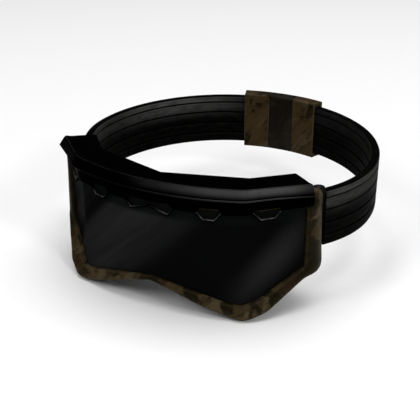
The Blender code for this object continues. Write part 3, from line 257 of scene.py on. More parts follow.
class Paint:
    """One material: its nodes, its shader and the coordinates that its patterns follow."""

    def __init__(self, name, **fixed):
        self.material = bpy.data.materials.new(name)
        self.material.use_nodes = True
        self.tree = self.material.node_tree
        self.shader = self.tree.nodes["Principled BSDF"]
        for socket, value in fixed.items():
            self.shader.inputs[socket.replace("_", " ")].default_value = value
        self.place = self.node("ShaderNodeTexCoord", {}, {}, "Object")

    def node(self, kind, settings, values, output=0):
        """Adds a node, sets it, joins its inputs and returns one of its outputs."""
        made = self.tree.nodes.new(kind)
        for setting, value in settings.items():
            setattr(made, setting, value)
        for socket, value in values.items():
            self.join(value, made.inputs[socket])
        return Value(self, made.outputs[output])

    def math(self, operation, *values):
        """The result of a Math node on numbers or Values."""
        return self.node("ShaderNodeMath", {"operation": operation}, dict(enumerate(values)))

    def join(self, value, socket):
        """Links a Value to a socket, or sets the socket to a constant."""
        if isinstance(value, Value):
            self.tree.links.new(value.socket, socket)
        else:
            socket.default_value = value

    def moved(self, stretch=(1, 1, 1), turn=(0, 0, 0), place=None):
        """Coordinates for a pattern that is turned and then stretched along its own axes."""
        return self.node(
            "ShaderNodeMapping", {"vector_type": "TEXTURE"},
            {"Vector": place or self.place, "Scale": stretch, "Rotation": turn},
        )

    def noise(self, scale, detail=3.0, rough=0.5, place=None, warp=0.0, offset=0.0):
        return self.node(
            "ShaderNodeTexNoise", {"noise_dimensions": "4D"},
            {
                "Vector": place or self.place, "Scale": scale, "Detail": detail,
                "Roughness": rough, "Distortion": warp, "W": offset,
            },
        )

    def blend(self, first, second, share):
        """A colour between two others."""
        mixer = self.tree.nodes.new("ShaderNodeMix")
        mixer.data_type = "RGBA"
        self.join(share, mixer.inputs["Factor"])
        for value, socket in ((first, mixer.inputs[6]), (second, mixer.inputs[7])):
            self.join(value if isinstance(value, Value) else (*value, 1.0), socket)
        return Value(self, mixer.outputs[2])

    def layered(self, colour, *layers):
        """A colour with others laid over it, each a tone and its share."""
        for tone, share in layers:
            colour = self.blend(colour, tone, share)
        return colour

    def axes(self, names, place=None):
        """The coordinates that are named, such as XZ, each as a number."""
        split = self.tree.nodes.new("ShaderNodeSeparateXYZ")
        self.join(place or self.place, split.inputs[0])
        return [Value(self, split.outputs[name]) for name in names]

    def worn(self):
        """The share of wear, painted highlight and painted sheen at a piece's edges, crests and
        ridges.
        """
        return self.node("ShaderNodeAttribute", {"attribute_name": "worn"}, {}, "Fac")

    def finish(self, colour, roughness, height=None, depth=0.0):
        """Joins the finished pattern to the shader."""
        self.join(colour, self.shader.inputs["Base Color"])
        self.join(roughness, self.shader.inputs["Roughness"])
        if height is not None:
            bump = self.node("ShaderNodeBump", {}, {"Height": height, "Distance": depth})
            self.join(bump, self.shader.inputs["Normal"])
        return self.material


# %% [markdown]
# ## Camouflage plastic
# The rim and two of the clasp's three sections are moulded in dark tan with brown and olive
# patches. Hydro-dipped film gives such patches soft torn edges, so warped noise cuts each
# layer. Slanting streaks run through all of them, and small dark specks gather in clusters like
# leaf litter. A paler tan on the eased edges and along the rim's crest stands both for rubbed
# plastic and for a painted highlight.

# %% Camouflage
BROWN, PALE, OLIVE = (0.0175, 0.0105, 0.0044), (0.056, 0.042, 0.022), (0.0062, 0.0056, 0.002)
SHADED, LITTER = (0.0085, 0.0072, 0.0026), (0.005, 0.0038, 0.0016)
STREAK, RUBBED_TAN_AND_HIGHLIGHT = (0.006, 0.0042, 0.002), (0.075, 0.058, 0.036)
SWEEP, STREAK_TURN, CHEVRON_TURN = (math.radians(angle) for angle in (38, 40, 50))
POST_START, POST_FULL = 0.079, 0.086


def camouflage(part, base, olive_cut, post_share, pale_share):
    """One part's camouflage: its base tone and how much of each layer it shows."""
    paint = Paint("camouflage_plastic" + FINISH + part, Specular_IOR_Level=0.022)
    sweep = paint.moved(stretch=(1.0, 1.0, 1.9), turn=(0.0, SWEEP, 0.0))
    brown = paint.noise(64, 3, 0.55, place=sweep, warp=0.5, offset=2.0).band(0.47, 0.56)
    olive = paint.noise(48, 3, 0.6, place=sweep, warp=0.7, offset=7.3)
    olive = olive.band(olive_cut, olive_cut + 0.05)
    pale = paint.noise(105, 2, 0.5, place=sweep, warp=0.5, offset=4.1).band(0.53, 0.62)
    cluster = paint.noise(70, 1, offset=9.0).band(0.5, 0.62)
    leaves = paint.noise(330, 2, 0.6, place=sweep, warp=0.9, offset=5.0).band(0.57, 0.63)
    stretched = paint.moved(stretch=(1.0, 1.0, 6.0), turn=(0.0, STREAK_TURN, 0.0))
    streaks = paint.noise(330, 2, place=stretched, offset=1.0).band(0.5, 0.72)
    posts = paint.axes("X")[0].math("ABSOLUTE").band(POST_START, POST_FULL)
    slanted = paint.moved(stretch=(1.0, 3.0, 4.0), turn=(0.0, CHEVRON_TURN, 0.0))
    chevrons = paint.noise(125, 1, 0.5, place=slanted, offset=6.0).band(0.54, 0.6)
    # Pale tan on eased edges and the rim's crest: rubbed plastic, and a painted highlight too.
    worn = paint.worn() * paint.noise(420, 3).band(0.3, 0.62)
    colour = paint.layered(
        base, (BROWN, brown * post_share), (PALE, pale * pale_share), (OLIVE, olive * 0.92),
        (SHADED, posts * (1.0 - chevrons) * 0.92 * post_share),
        (LITTER, cluster * leaves * 0.85), (STREAK, streaks * 0.6), (RUBBED_TAN_AND_HIGHLIGHT, worn * 0.85),
    )
    roughness = 0.46 + 0.14 * paint.noise(120, 3) - 0.1 * worn
    return paint.finish(colour, roughness, height=paint.noise(1500, 2), depth=0.00004)


rim_camouflage = camouflage(" rim", (0.036, 0.0245, 0.0105), 0.53, 1.0, 0.95)
clasp_camouflage = camouflage(" clasp", (0.04, 0.025, 0.0105), 0.58, 0.2, 0.5)
print("camouflage nodes:", len(rim_camouflage.node_tree.nodes))

# %% [markdown]
# ## Dark and black plastics
# The clasp's middle section is a dark brown-grey with cloudy mottling. The brow guard is gloss
# black, with painted highlights along its two ridges and the lower rims of its vent windows,
# and a painted sheen between the ridges on the wearer's left, which fades towards the end. The
# chassis and brackets behind are plain satin black with a fine spark-eroded grain.

# %% Dark and black plastics
SHEEN_START, SHEEN_FULL, SHEEN_FADE, SHEEN_END = -0.02, 0.07, 0.078, 0.089


def mottled_dark():
    paint = Paint("dark_plastic" + FINISH, Specular_IOR_Level=0.04)
    cloud = paint.noise(75, 4, 0.6, warp=0.8, offset=3.0).band(0.42, 0.66)
    fleck = paint.noise(260, 3, 0.6, warp=0.6, offset=8.0).band(0.56, 0.66)
    worn = paint.worn() * paint.noise(380, 2).band(0.35, 0.6)
    colour = paint.layered(
        (0.0062, 0.0047, 0.0028), ((0.015, 0.0115, 0.0072), cloud),
        ((0.0022, 0.0017, 0.001), fleck * 0.8), ((0.02, 0.016, 0.012), worn * 0.6),
    )
    return paint.finish(colour, 0.42 + 0.2 * cloud, height=paint.noise(1400, 2), depth=0.00003)


def gloss():
    paint = Paint("gloss_black" + FINISH, Specular_IOR_Level=0.0006)
    broken = paint.noise(260, 4, 0.65).band(0.4, 0.62)
    # Painted highlights: pale lines on the ridges and on the vent windows' lower rims.
    worn = paint.worn().band(0.14, 0.8) * (0.3 + 0.7 * broken)
    smear = paint.noise(38, 3, 0.6, warp=0.5)
    # Painted sheen between the ridges: it spans the wearer's left and fades towards the end.
    across = paint.axes("X")[0]
    side = across.band(SHEEN_START, SHEEN_FULL) * (1.0 - 0.7 * across.band(SHEEN_FADE, SHEEN_END))
    sheen = paint.worn().band(0.01, 0.12) * (1.0 - 0.85 * paint.worn().band(0.16, 0.24))
    sheen = sheen * side * (0.6 + 0.4 * smear.band(0.3, 0.7))
    colour = paint.layered(
        (0.0002, 0.0002, 0.0002), ((0.064, 0.064, 0.063), sheen), ((0.11, 0.107, 0.1), worn),
    )
    roughness = 0.3 + 0.12 * smear.band(0.35, 0.75) + 0.15 * worn
    return paint.finish(colour, roughness, height=paint.noise(95, 1), depth=0.00003)


def satin():
    paint = Paint("frame_black" + FINISH, Specular_IOR_Level=0.03)
    tone = paint.noise(60, 3)
    colour = paint.layered(
        (0.0012, 0.0012, 0.0013), ((0.0034, 0.0033, 0.0032), tone.band(0.35, 0.7)),
        ((0.014, 0.014, 0.014), paint.worn() * 0.6),
    )
    roughness = 0.5 + 0.12 * tone
    return paint.finish(colour, roughness, height=paint.noise(1700, 2), depth=0.00005)


dark_plastic, gloss_black, frame_black = mottled_dark(), gloss(), satin()
print("plastics:", dark_plastic.name, gloss_black.name, frame_black.name)

# %% [markdown]
# ## Lens tint and painted light
# The outer lens is a smoke sheet, dark enough to look solid. Its colour carries painted light:
# a paler field with slanting streaks on the wearer's right is a painted reflection, a soft
# pale patch low on the left is a painted highlight, and along the top, under the brow, the
# field is dimmed and the colour turns green-grey as painted shade. They are drawn in the lens's
# own flat coordinates, which are stored as its UV map in tenths of a metre, so they stay on the
# lens from any side.

# %% Lens materials
BROW_SHADE_START, BROW_SHADE_END = 0.615, 0.65
REFLECTION_STREAK_LEAN = math.radians(41)
HIGHLIGHT_LEAN, HIGHLIGHT_SHIFT, HIGHLIGHT_HALF, HIGHLIGHT_MIDDLE = 1.12, 0.395, 0.26, 0.8


def smoke():
    paint = Paint("smoke_lens" + FINISH, Specular_IOR_Level=0.0002)
    flat = paint.node("ShaderNodeUVMap", {"uv_map": "flat"}, {})
    along, up = paint.axes("XY", flat)
    # Painted shade under the brow, along the top of the lens.
    top = up.band(BROW_SHADE_START, BROW_SHADE_END)
    slant = along - up
    # Painted reflection: a paler streaked field on the wearer's right, dimmed under the brow.
    reflection_field = (1.0 - slant.band(-0.62, -0.2)) * slant.band(-1.02, -0.9) * (1.0 - 0.55 * top)
    edge_reflection = (1.0 - slant.band(-1.12, -1.04)) * 0.25
    leaning = paint.moved(stretch=(14.0, 1.0, 1.0), turn=(0, 0, REFLECTION_STREAK_LEAN), place=flat)
    streaks = paint.noise(16.0, 2, place=leaning).band(0.35, 0.65)
    # Painted highlight: a soft pale patch low on the left.
    across = along - up * HIGHLIGHT_LEAN - HIGHLIGHT_SHIFT
    reach = along - HIGHLIGHT_MIDDLE
    length = reach.band(-0.42, 0.0) * (1.0 - reach.band(0.02, 0.32))
    highlight_patch = (1.0 - across.math("ABSOLUTE").band(0.0, HIGHLIGHT_HALF)) * length
    share = reflection_field * (0.62 + 0.38 * streaks) + edge_reflection * streaks + highlight_patch * 0.95
    colour = paint.layered(
        (0.0026, 0.0027, 0.0027), ((0.016, 0.0163, 0.0163), share.clamped()),
        ((0.004, 0.0052, 0.0047), top * 0.7),
    )
    return paint.finish(colour, 0.26 + 0.1 * paint.noise(55, 3, 0.55).band(0.35, 0.75))


def clear():
    paint = Paint("clear_lens" + FINISH, Specular_IOR_Level=0.0005, Alpha=0.3)
    haze = paint.noise(70, 3)
    colour = paint.blend((0.018, 0.02, 0.022), (0.03, 0.033, 0.035), haze)
    return paint.finish(colour, 0.22 + 0.1 * haze.band(0.4, 0.8))


smoke_lens, clear_lens = smoke(), clear()
print("lens materials:", smoke_lens.name, clear_lens.name)

# %% [markdown]
# ## Rubber, foam, fleece and steel
# The strap's rubber is scuffed on its ribs and black in its grooves. A painted sheen lies along
# its top ribs, brightest near the bracket and inside the back of the loop. The cushion is
# open-cell foam, so small round pits cover it, and its face is a brushed fleece with a short
# nap. Pins, screws and springs are blackened steel with fine turning marks.

# %% Soft and metal materials
def rubber():
    paint = Paint("strap_rubber" + FINISH, Specular_IOR_Level=0.005)
    scuff = paint.noise(110, 4, 0.65, place=paint.moved(stretch=(1, 1, 0.4)), warp=0.6)
    speck = paint.noise(600, 3, 0.6).band(0.55, 0.72)
    across, back, up = paint.axes("XYZ")
    sheen_by_bracket = 1.0 - back.band(-0.035, 0.045)
    sheen_by_head = back.band(0.0, 0.06) * (1.0 - across.band(-0.08, -0.01))
    ribs = paint.worn().band(0.02, 0.12)
    # The painted sheen on the top ribs, strongest near the bracket and inside the back of the loop.
    high = up.band(0.052, 0.07) * ribs * (0.45 + 0.55 * scuff.band(0.3, 0.62))
    high = high * (0.12 + 0.5 * sheen_by_bracket + 0.88 * sheen_by_head).clamped()
    colour = paint.layered(
        (0.0005, 0.0005, 0.0004), ((0.0024, 0.0023, 0.0021), scuff.band(0.4, 0.7)),
        ((0.007, 0.0067, 0.006), speck * 0.35), ((0.096, 0.095, 0.093), high * 0.9),
        ((0.008, 0.0078, 0.0072), paint.worn() * scuff.band(0.25, 0.6) * 0.6),
    )
    roughness = 0.4 + 0.22 * scuff.band(0.3, 0.7)
    return paint.finish(colour, roughness, height=paint.noise(1100, 3, 0.6), depth=0.00006)


def open_foam():
    paint = Paint("foam" + FINISH, Sheen_Weight=0.15)
    cells = paint.node(
        "ShaderNodeTexVoronoi", {"feature": "F1"}, {"Vector": paint.place, "Scale": 1150.0}
    )
    # The pits are painted darker towards their middles: painted shade in the hollows.
    pits = cells.band(0.15, 0.55)
    colour = paint.layered(
        (0.004, 0.004, 0.004), ((0.016, 0.016, 0.016), pits),
        ((0.024, 0.024, 0.023), paint.noise(90, 3).band(0.5, 0.8) * 0.5),
    )
    return paint.finish(colour, 0.93, height=pits, depth=0.00025)


def brushed_fleece():
    paint = Paint("fleece" + FINISH, Sheen_Weight=0.5, Sheen_Roughness=0.5)
    nap = paint.noise(1500, 3, 0.7, place=paint.moved(stretch=(1, 1, 2.8)), warp=1.2)
    colour = paint.layered(
        (0.01, 0.01, 0.0105), ((0.03, 0.03, 0.031), nap.band(0.35, 0.7)),
        ((0.04, 0.04, 0.041), paint.noise(70, 3, 0.6).band(0.5, 0.75) * 0.35),
    )
    return paint.finish(colour, 0.97, height=nap, depth=0.0003)


def turned_steel():
    paint = Paint("steel" + FINISH, Metallic=1.0)
    marks = paint.noise(300, 2, place=paint.moved(stretch=(1, 1, 0.06)))
    colour = paint.blend((0.02, 0.02, 0.022), (0.06, 0.06, 0.062), marks)
    return paint.finish(colour, 0.38 + 0.14 * paint.noise(240, 2), height=marks, depth=0.00001)


strap_rubber, foam, fleece, steel = rubber(), open_foam(), brushed_fleece(), turned_steel()
print("soft and metal:", strap_rubber.name, foam.name, fleece.name, steel.name)

# %% [markdown]
# ## Mesh helpers
# Most pieces here are one section carried along a path. Blender's grid primitive already has
# its faces in rows and columns, so each is a grid whose points are moved to their places and
# whose seam is merged. Each point may also carry a share of wear and painted highlight, which
# the finishes read.

# %% Mesh helpers
def closed(bm):
    """Merges a mesh's seams, fills its open ends and turns its faces outward."""
    bmesh.ops.remove_doubles(bm, verts=bm.verts, dist=MERGE)
    ends = [edge for edge in bm.edges if edge.is_boundary]
    if ends:
        bmesh.ops.holes_fill(bm, edges=ends, sides=0)
    bmesh.ops.recalc_face_normals(bm, faces=bm.faces)
    return bm


def carried(columns, rows, place, round_path=False):
    """A grid whose points go to place(column, row), which gives a point and its wear and highlight.
    """
    bm = bmesh.new()
    bmesh.ops.create_grid(bm, x_segments=columns, y_segments=rows, size=1.0)
    layer = bm.verts.layers.float.new("worn")
    for vert in bm.verts:
        column = round((vert.co.x + 1) / 2 * columns) % columns
        row = round((vert.co.y + 1) / 2 * rows)
        if round_path:
            row %= rows
        vert.co, vert[layer] = place(column, row)
    return closed(bm)


def cut(bm, place, normal):
    """Cuts a mesh along a plane and keeps both sides."""
    everything = bm.verts[:] + bm.edges[:] + bm.faces[:]
    bmesh.ops.bisect_plane(bm, geom=everything, dist=MERGE, plane_co=place, plane_no=normal)


def thickened(bm, shift):
    """Gives flat faces a second side, moved by shift, and walls between the two."""
    made = bmesh.ops.extrude_face_region(bm, geom=bm.faces[:])
    moved = [item for item in made["geom"] if isinstance(item, bmesh.types.BMVert)]
    bmesh.ops.translate(bm, verts=moved, vec=shift)
    bmesh.ops.recalc_face_normals(bm, faces=bm.faces)


def copy_of(node):
    """A copy of a CAD node's mesh with its facets' points merged."""
    bm = bmesh.new()
    bm.from_mesh(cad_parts[node].data)
    bmesh.ops.remove_doubles(bm, verts=bm.verts, dist=MERGE)
    return bm


def eased(bm, edges, ease):
    """Rounds edges with the bevel operator and gives the new faces."""
    return bmesh.ops.bevel(
        bm, geom=edges, offset=ease, offset_type="OFFSET", segments=3, profile=0.5,
        affect="EDGES", material=-1, clamp_overlap=True,
    )["faces"]


def finished(name, bm, look, body, node, smooth=35):
    """Makes a mesh a piece that rides on a body and stands for a CAD node."""
    mesh = bpy.data.meshes.new(name)
    bm.to_mesh(mesh)
    bm.free()
    mesh.materials.append(look)
    mesh.shade_smooth()
    mesh.set_sharp_from_angle(angle=math.radians(smooth))
    made = placed(name, mesh)
    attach(made, body)
    look.name.split(FINISH)[0]
    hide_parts(node)
    print(f"{name}: {len(mesh.polygons)} faces")
    return made

# %% [markdown]
# ## The camouflage rim
# The rim is a puffy moulding. Each row of this table pairs a point of its outer edge with a
# point of the lens opening, as distances along the face and heights. Low down, the whole rim
# also flares forward, and most of all at the two lobes.

# %% Rim stations
RIM = (
    (0.0, 0.0184, 0.0, 0.02195), (0.0148, 0.0141, 0.0123, 0.01951),
    (0.0331, 0.0077, 0.0257, 0.0167), (0.043, 0.0039, 0.0386, 0.0134),
    (0.053, 0.0, 0.0504, 0.0097), (0.058, 0.0, 0.0555, 0.009),
    (0.0624, 0.0, 0.0611, 0.0081), (0.0674, 0.0021, 0.0668, 0.0101),
    (0.0733, 0.0045, 0.0726, 0.0124), (0.0818, 0.0101, 0.0809, 0.0176),
    (0.09, 0.0157, 0.0905, 0.0235), (0.099, 0.02134, 0.0979, 0.02831),
    (0.1085, 0.0243, 0.0994, 0.0296), (0.1142, 0.0257, 0.0994, 0.033),
    (0.1142, 0.05, 0.0994, 0.05), (0.1142, 0.076, 0.0994, 0.0688),
    (0.1102, 0.08, 0.0982, 0.0708), (0.1, 0.08, 0.0954, 0.0714),
    (0.0996, 0.076, 0.093, 0.0714), (0.06, 0.076, 0.06, 0.0714),
    (0.05, 0.076, 0.049, 0.0726), (0.028, 0.076, 0.028, 0.0726),
    (0.018, 0.076, 0.018, 0.0722), (0.0, 0.076, 0.0, 0.0722),
)
FLARE = (
    (0.0, 0.0), (0.0263, 0.12), (0.0457, 0.2), (0.053, 0.24), (0.0624, 0.8),
    (0.0733, 1.0), (0.1073, 0.0), (0.115, 0.0),
)
RIM_STEP = 0.0022
RIM_DEPTH, LIP_DEPTH, FLARE_OUT, SEAT = 0.0052, 0.0024, 0.0064, 0.0023
UNDER_SKIRT_HALF, UNDER_SKIRT_LOW, UNDER_SKIRT_DEPTH = 0.104, 0.0689, 0.0019


def rows_between(first, second, count):
    """Evenly spaced rows from the first up to the second, which is left out."""
    shares = [step / count for step in range(count)]
    return [tuple(a + (b - a) * share for a, b in zip(first, second)) for share in shares]


def rim_rows():
    """Pairs of edge and lip points closely spaced round the whole rim."""
    half = []
    for first, second in zip(RIM, RIM[1:]):
        run = math.dist(first[:2], second[:2])
        half += rows_between(first, second, max(2, round(run / RIM_STEP)))
    return whole([*half, RIM[-1]])


def eased_rows(rows, passes):
    """The rows with their corners rounded, by moving each towards its neighbours."""
    for _ in range(passes):
        before, after = rows[-1:] + rows[:-1], rows[1:] + rows[:1]
        rows = [
            tuple((a + 2 * b + c) / 4 for a, b, c in zip(*three))
            for three in zip(before, rows, after)
        ]
    return rows


rim_stations = eased_rows(rim_rows(), 2)
print("rim sections:", len(rim_stations))

# %% [markdown]
# Between each pair lies one section: a small round lip, a swelling crest near the outside, and
# a wall that turns back.

# %% Rim mesh
ROUND, ROUND_LESS, CREST = 0.0026, 0.0011, 0.0011
LOW_START, LOW_FULL, FLARE_TOP = 0.06, 0.03, 0.055
POST_IN, POST_ROUND, POST_OUT, POST_TOP = 0.1, 0.108, 0.1142, 0.077
POST_BULGE, BULGE_AT, BULGE_REACH = 0.0014, 0.03, 0.035


def rim_section(width, low_share, on_post):
    """One section: distance from the lip, distance out of the face, and wear with painted
    highlight.
    """
    round_out = min(ROUND - ROUND_LESS * on_post, width * 0.42)
    fall = 1.0 - 0.5 * on_post
    crest = CREST * low_share
    inner = min(SEAT, width * 0.6)
    return (
        (inner, -RIM_DEPTH, 0.0), (inner, -LIP_DEPTH, 0.0), (0.0, -LIP_DEPTH, 0.0),
        (0.0, -0.0012, 0.0), (0.0002, -0.0005, 0.1), (0.0007, -0.0001, 0.25), (0.0014, 0.0, 0.0),
        # The crest's points carry most of the share: its pale tan is also a painted highlight.
        (width * 0.35, crest * 0.6, 0.0), (width * 0.55, crest, 0.15),
        (width - round_out, crest * 0.9, 0.55), (width - round_out * 0.7, crest * 0.5, 0.5),
        (width - round_out * 0.42, -0.0003 * fall, 0.15),
        (width - round_out * 0.2, -0.0008 * fall, 0.0),
        (width - round_out * 0.05, -0.0015 * fall, 0.0), (width, -0.0022 * fall, 0.0),
        (width, -RIM_DEPTH + 0.0004, 0.0), (width - 0.0004, -RIM_DEPTH, 0.0),
    )


def rim_point(column, row):
    """A point of the rim: sections lie between the lip and the edge of their station."""
    edge_x, edge_z, lip_x, lip_z = rim_stations[row]
    edge, lip = Vector((edge_x, edge_z)), Vector((lip_x, lip_z))
    run = edge - lip
    low = part_way(edge_z, LOW_START, LOW_FULL)
    on_post = part_way(abs(edge_x), POST_IN, POST_ROUND) * (edge_z < POST_TOP)
    across, out, wear_and_highlight_share = rim_section(run.length, 0.35 + 0.65 * low, on_post)[column]
    spot = lip + run.normalized() * across
    swell = FLARE_OUT * read_off(FLARE, abs(edge_x)) * (out + RIM_DEPTH) / RIM_DEPTH
    if edge_z < FLARE_TOP:
        out += swell * min(1.0, across / run.length)
    bulge = on_post * part_way(abs(spot.y - BULGE_AT), BULGE_REACH, 0.0)
    out += POST_BULGE * bulge * part_way(abs(spot.x), POST_IN, POST_OUT)
    if abs(spot.x) < UNDER_SKIRT_HALF and spot.y > UNDER_SKIRT_LOW:
        out = min(out, -UNDER_SKIRT_DEPTH)
    return onto_face(spot.x, spot.y, out), wear_and_highlight_share


columns = len(rim_section(0.01, 1.0, 0.0))
rim = carried(columns, len(rim_stations), rim_point, round_path=True)
finished("camouflage_rim", rim, rim_camouflage, "frame", "front_bezel", smooth=55)

# %% [markdown]
# ## Flat sheets with holes
# The lens and the brow guard's skirt are thin sheets cut to an outline. An outline of edges is
# filled with faces, pushed back by its thickness, eased along its rims, cut into narrow
# upright strips, and only then bent, so that the glossy surface turns smoothly.

# %% Sheets
EDGE_ANGLE, UV_SCALE = math.radians(60), 10


def grown(outline, distance):
    """An anticlockwise outline moved outward by a distance, with its corners kept sharp."""
    moved = []
    for index, here in enumerate(outline):
        here = Vector(here)
        before = here - Vector(outline[index - 1])
        after = Vector(outline[(index + 1) % len(outline)]) - here
        first = Vector((before.y, -before.x)).normalized()
        second = Vector((after.y, -after.x)).normalized()
        moved.append(tuple(here + distance * (first + second) / (1 + first.dot(second))))
    return moved


def close_to(outline, spot, reach):
    """Whether a flat point lies within reach of an outline."""
    corners = [Vector(point) for point in outline]
    for start, end in zip(corners, corners[1:] + corners[:1]):
        share = (spot - start).dot(end - start) / (end - start).length_squared
        if (spot - start.lerp(end, min(1.0, max(0.0, share)))).length < reach:
            return True
    return False


def sheet(outline, holes, front, thickness, ease=0.0, hole_highlight=0.0, highlight_below=0.0):
    """A flat sheet with holes, its front at a distance out of the face."""
    bm = bmesh.new()
    for loop in [outline, *holes]:
        verts = [bm.verts.new((x, z, front)) for x, z in loop]
        for index, vert in enumerate(verts):
            bm.edges.new((verts[index - 1], vert))
    bmesh.ops.triangle_fill(bm, edges=bm.edges, use_beauty=True, use_dissolve=False)
    thickened(bm, (0, 0, -thickness))
    layer = bm.verts.layers.float.new("worn")
    if not ease:
        return bm
    rims = [
        edge for edge in bm.edges
        if len(edge.link_faces) == 2 and edge.calc_face_angle() > EDGE_ANGLE
        and all(abs(vert.co.z - front) < MERGE for vert in edge.verts)
    ]
    # The eased faces round the lower parts of the holes carry a painted highlight.
    for vert in {vert for face in eased(bm, rims, ease) for vert in face.verts}:
        sunk = vert.co.z < front - MERGE and vert.co.y < highlight_below
        if sunk and any(close_to(hole, vert.co.xy, ease * 1.1) for hole in holes):
            vert[layer] = hole_highlight
    return bm


def bent(bm, step):
    """Cuts a flat mesh into strips, keeps its flat coordinates as UVs, and bends it."""
    span = max(abs(vert.co.x) for vert in bm.verts)
    count = int(span / step)
    for index in range(-count, count + 1):
        cut(bm, (index * step, 0, 0), (1, 0, 0))
    uv = bm.loops.layers.uv.new("flat")
    for face in bm.faces:
        for loop in face.loops:
            loop[uv].uv = loop.vert.co.xy * UV_SCALE
    bmesh.ops.triangulate(bm, faces=bm.faces)
    for vert in bm.verts:
        vert.co = onto_face(*vert.co)
    bmesh.ops.recalc_face_normals(bm, faces=bm.faces)
    return bm


# %% [markdown]
# ## The outer lens
# The lens is 2.4 mm thick and reaches 2 mm behind the rim all round. Its outline is the rim's
# opening, and it is cut into narrow strips because its gloss shows every facet.

# %% Outer lens
LENS_LAP, LENS_THICK, LENS_GAP, LENS_STRIP = 0.002, 0.0024, 0.0003, 0.0015

opening = whole([row[2:] for row in RIM])
lens = sheet(grown(opening, LENS_LAP), [], -LIP_DEPTH - LENS_GAP, LENS_THICK)
finished("smoke_outer_lens", bent(lens, LENS_STRIP), smoke_lens, "frame", "lens_outer")

# %% [markdown]
# ## The brow guard
# One gloss black moulding covers the top of the goggles. Its bar has a low ridge that stands
# out over the skirt and a high one where it turns back into a shelf. The shelf's back edge
# runs in four straight parts. The ends droop a little, and each is closed by a cheek.

# %% Brow bar
BROW_HALF, BROW_WALL, BROW_ROWS, BAR_INSET = 0.1016, 0.0016, 110, 0.0002
RIDGE_OUT, END_START, END_SWELL, END_DROP = 0.0036, 0.078, 0.001, 0.0009
DROOP, DROOP_END, SKIRT_LOW = 0.0022, 0.0995, 0.0705
SHELF_START, SHELF_DEPTH = 0.0013, 0.0205
SHELF_MIDDLE, SHELF_CORNER = Vector((0.0, FRONT_Y + 0.016)), Vector((0.0517, FRONT_Y + 0.0315))
# Each face point is a depth, a height and a share of paint: the ridges' points carry a painted
# highlight, and the slope between them carries a painted sheen.
BROW_FACE = (
    (0.0, 0.0765, 0.0), (0.0, 0.0774, 0.0), (0.0006, 0.078, 0.0), (0.0029, 0.0803, 0.0),
    (0.0034, 0.0807, 0.02), (0.0036, 0.0811, 0.24), (0.0036, 0.0814, 0.24),
    (0.0034, 0.0818, 0.01), (0.0029, 0.0826, 0.03), (0.0022, 0.084, 0.07),
    (0.0014, 0.0854, 0.11), (0.0008, 0.0864, 0.13), (0.0004, 0.0868, 0.13),
    (0.0, 0.08705, 0.33), (-0.0006, 0.0871, 0.1), (-0.0013, 0.0869, 0.0),
)
SHELF_TOP = (
    (0.06, 0.08665), (0.14, 0.0864), (0.3, 0.0864), (0.55, 0.0863), (0.8, 0.08615),
    (0.95, 0.086), (0.99, 0.08575), (1.0, 0.0854),
)
BROW_SHELF = (*SHELF_TOP, (1.0, 0.0848), (0.99, 0.0843), (0.6, 0.0843), (0.2, 0.0845))
BROW_INSIDE = (
    (-0.0016, 0.0846), (0.0018, 0.0818), (0.0019, 0.0813), (-0.0016, 0.0786), (-0.0016, 0.0765),
)


def drooped(point, along):
    """The point lowered a little towards the ends of the wings."""
    across = max(0.0, (abs(along) - CORNER_START) / (DROOP_END - CORNER_START))
    up = max(0.0, (point.z - SKIRT_LOW) / (TALL - SKIRT_LOW))
    return point - Vector((0, 0, DROOP * across * up))


def bar_face(along, out, height, inset=0.0):
    """A point of the bar's face. Towards the ends its low ridge stands out and drops."""
    ridge = part_way(abs(along), END_START, BROW_HALF) * max(0.0, out) / RIDGE_OUT
    spot = onto_face(along, height - END_DROP * ridge, out + END_SWELL * ridge - inset)
    return drooped(spot, along)


def bar_shelf(along, share, height):
    """A point of the shelf, a share of the way from the face to the shelf's back edge."""
    if abs(along) < CORNER_START:
        back = SHELF_MIDDLE.lerp(SHELF_CORNER, abs(along) / CORNER_START)
    else:
        end = Vector(front_point(DROOP_END, SHELF_DEPTH))
        back = SHELF_CORNER.lerp(end, part_way(abs(along), CORNER_START, BROW_HALF))
    start = Vector(front_point(along, SHELF_START))
    plan = start.lerp(Vector((math.copysign(back.x, along), back.y)), share)
    return drooped(Vector((*plan, height)), along)


def brow_point(column, row):
    """A point of the bar: its face, then its shelf's top and underside, then its inside."""
    along = (row / BROW_ROWS * 2 - 1) * (BROW_HALF - BAR_INSET)
    if column < len(BROW_FACE):
        out, height, wear_and_highlight_share = BROW_FACE[column]
        return bar_face(along, out, height), wear_and_highlight_share
    column -= len(BROW_FACE)
    if column < len(BROW_SHELF):
        return bar_shelf(along, *BROW_SHELF[column]), 0.0
    out, height = BROW_INSIDE[column - len(BROW_SHELF)]
    return drooped(onto_face(along, height, out), along), 0.0


brow_columns = len(BROW_FACE + BROW_SHELF + BROW_INSIDE)
brow = carried(brow_columns, BROW_ROWS, brow_point)
print("brow bar:", len(brow.faces), "faces")

# %% [markdown]
# The two cheeks that close the bar's ends are the same outline filled and pushed inward, so
# that they meet the bar's own edge. Their outline lies just inside the bar's surface.

# %% Brow cheeks
CHEEK_INSET, CHEEK_UNDER = 0.0004, 0.0003
CHEEK_BACK, CHEEK_TOP, CHEEK_LOW = 0.0195, 0.0832, 0.078


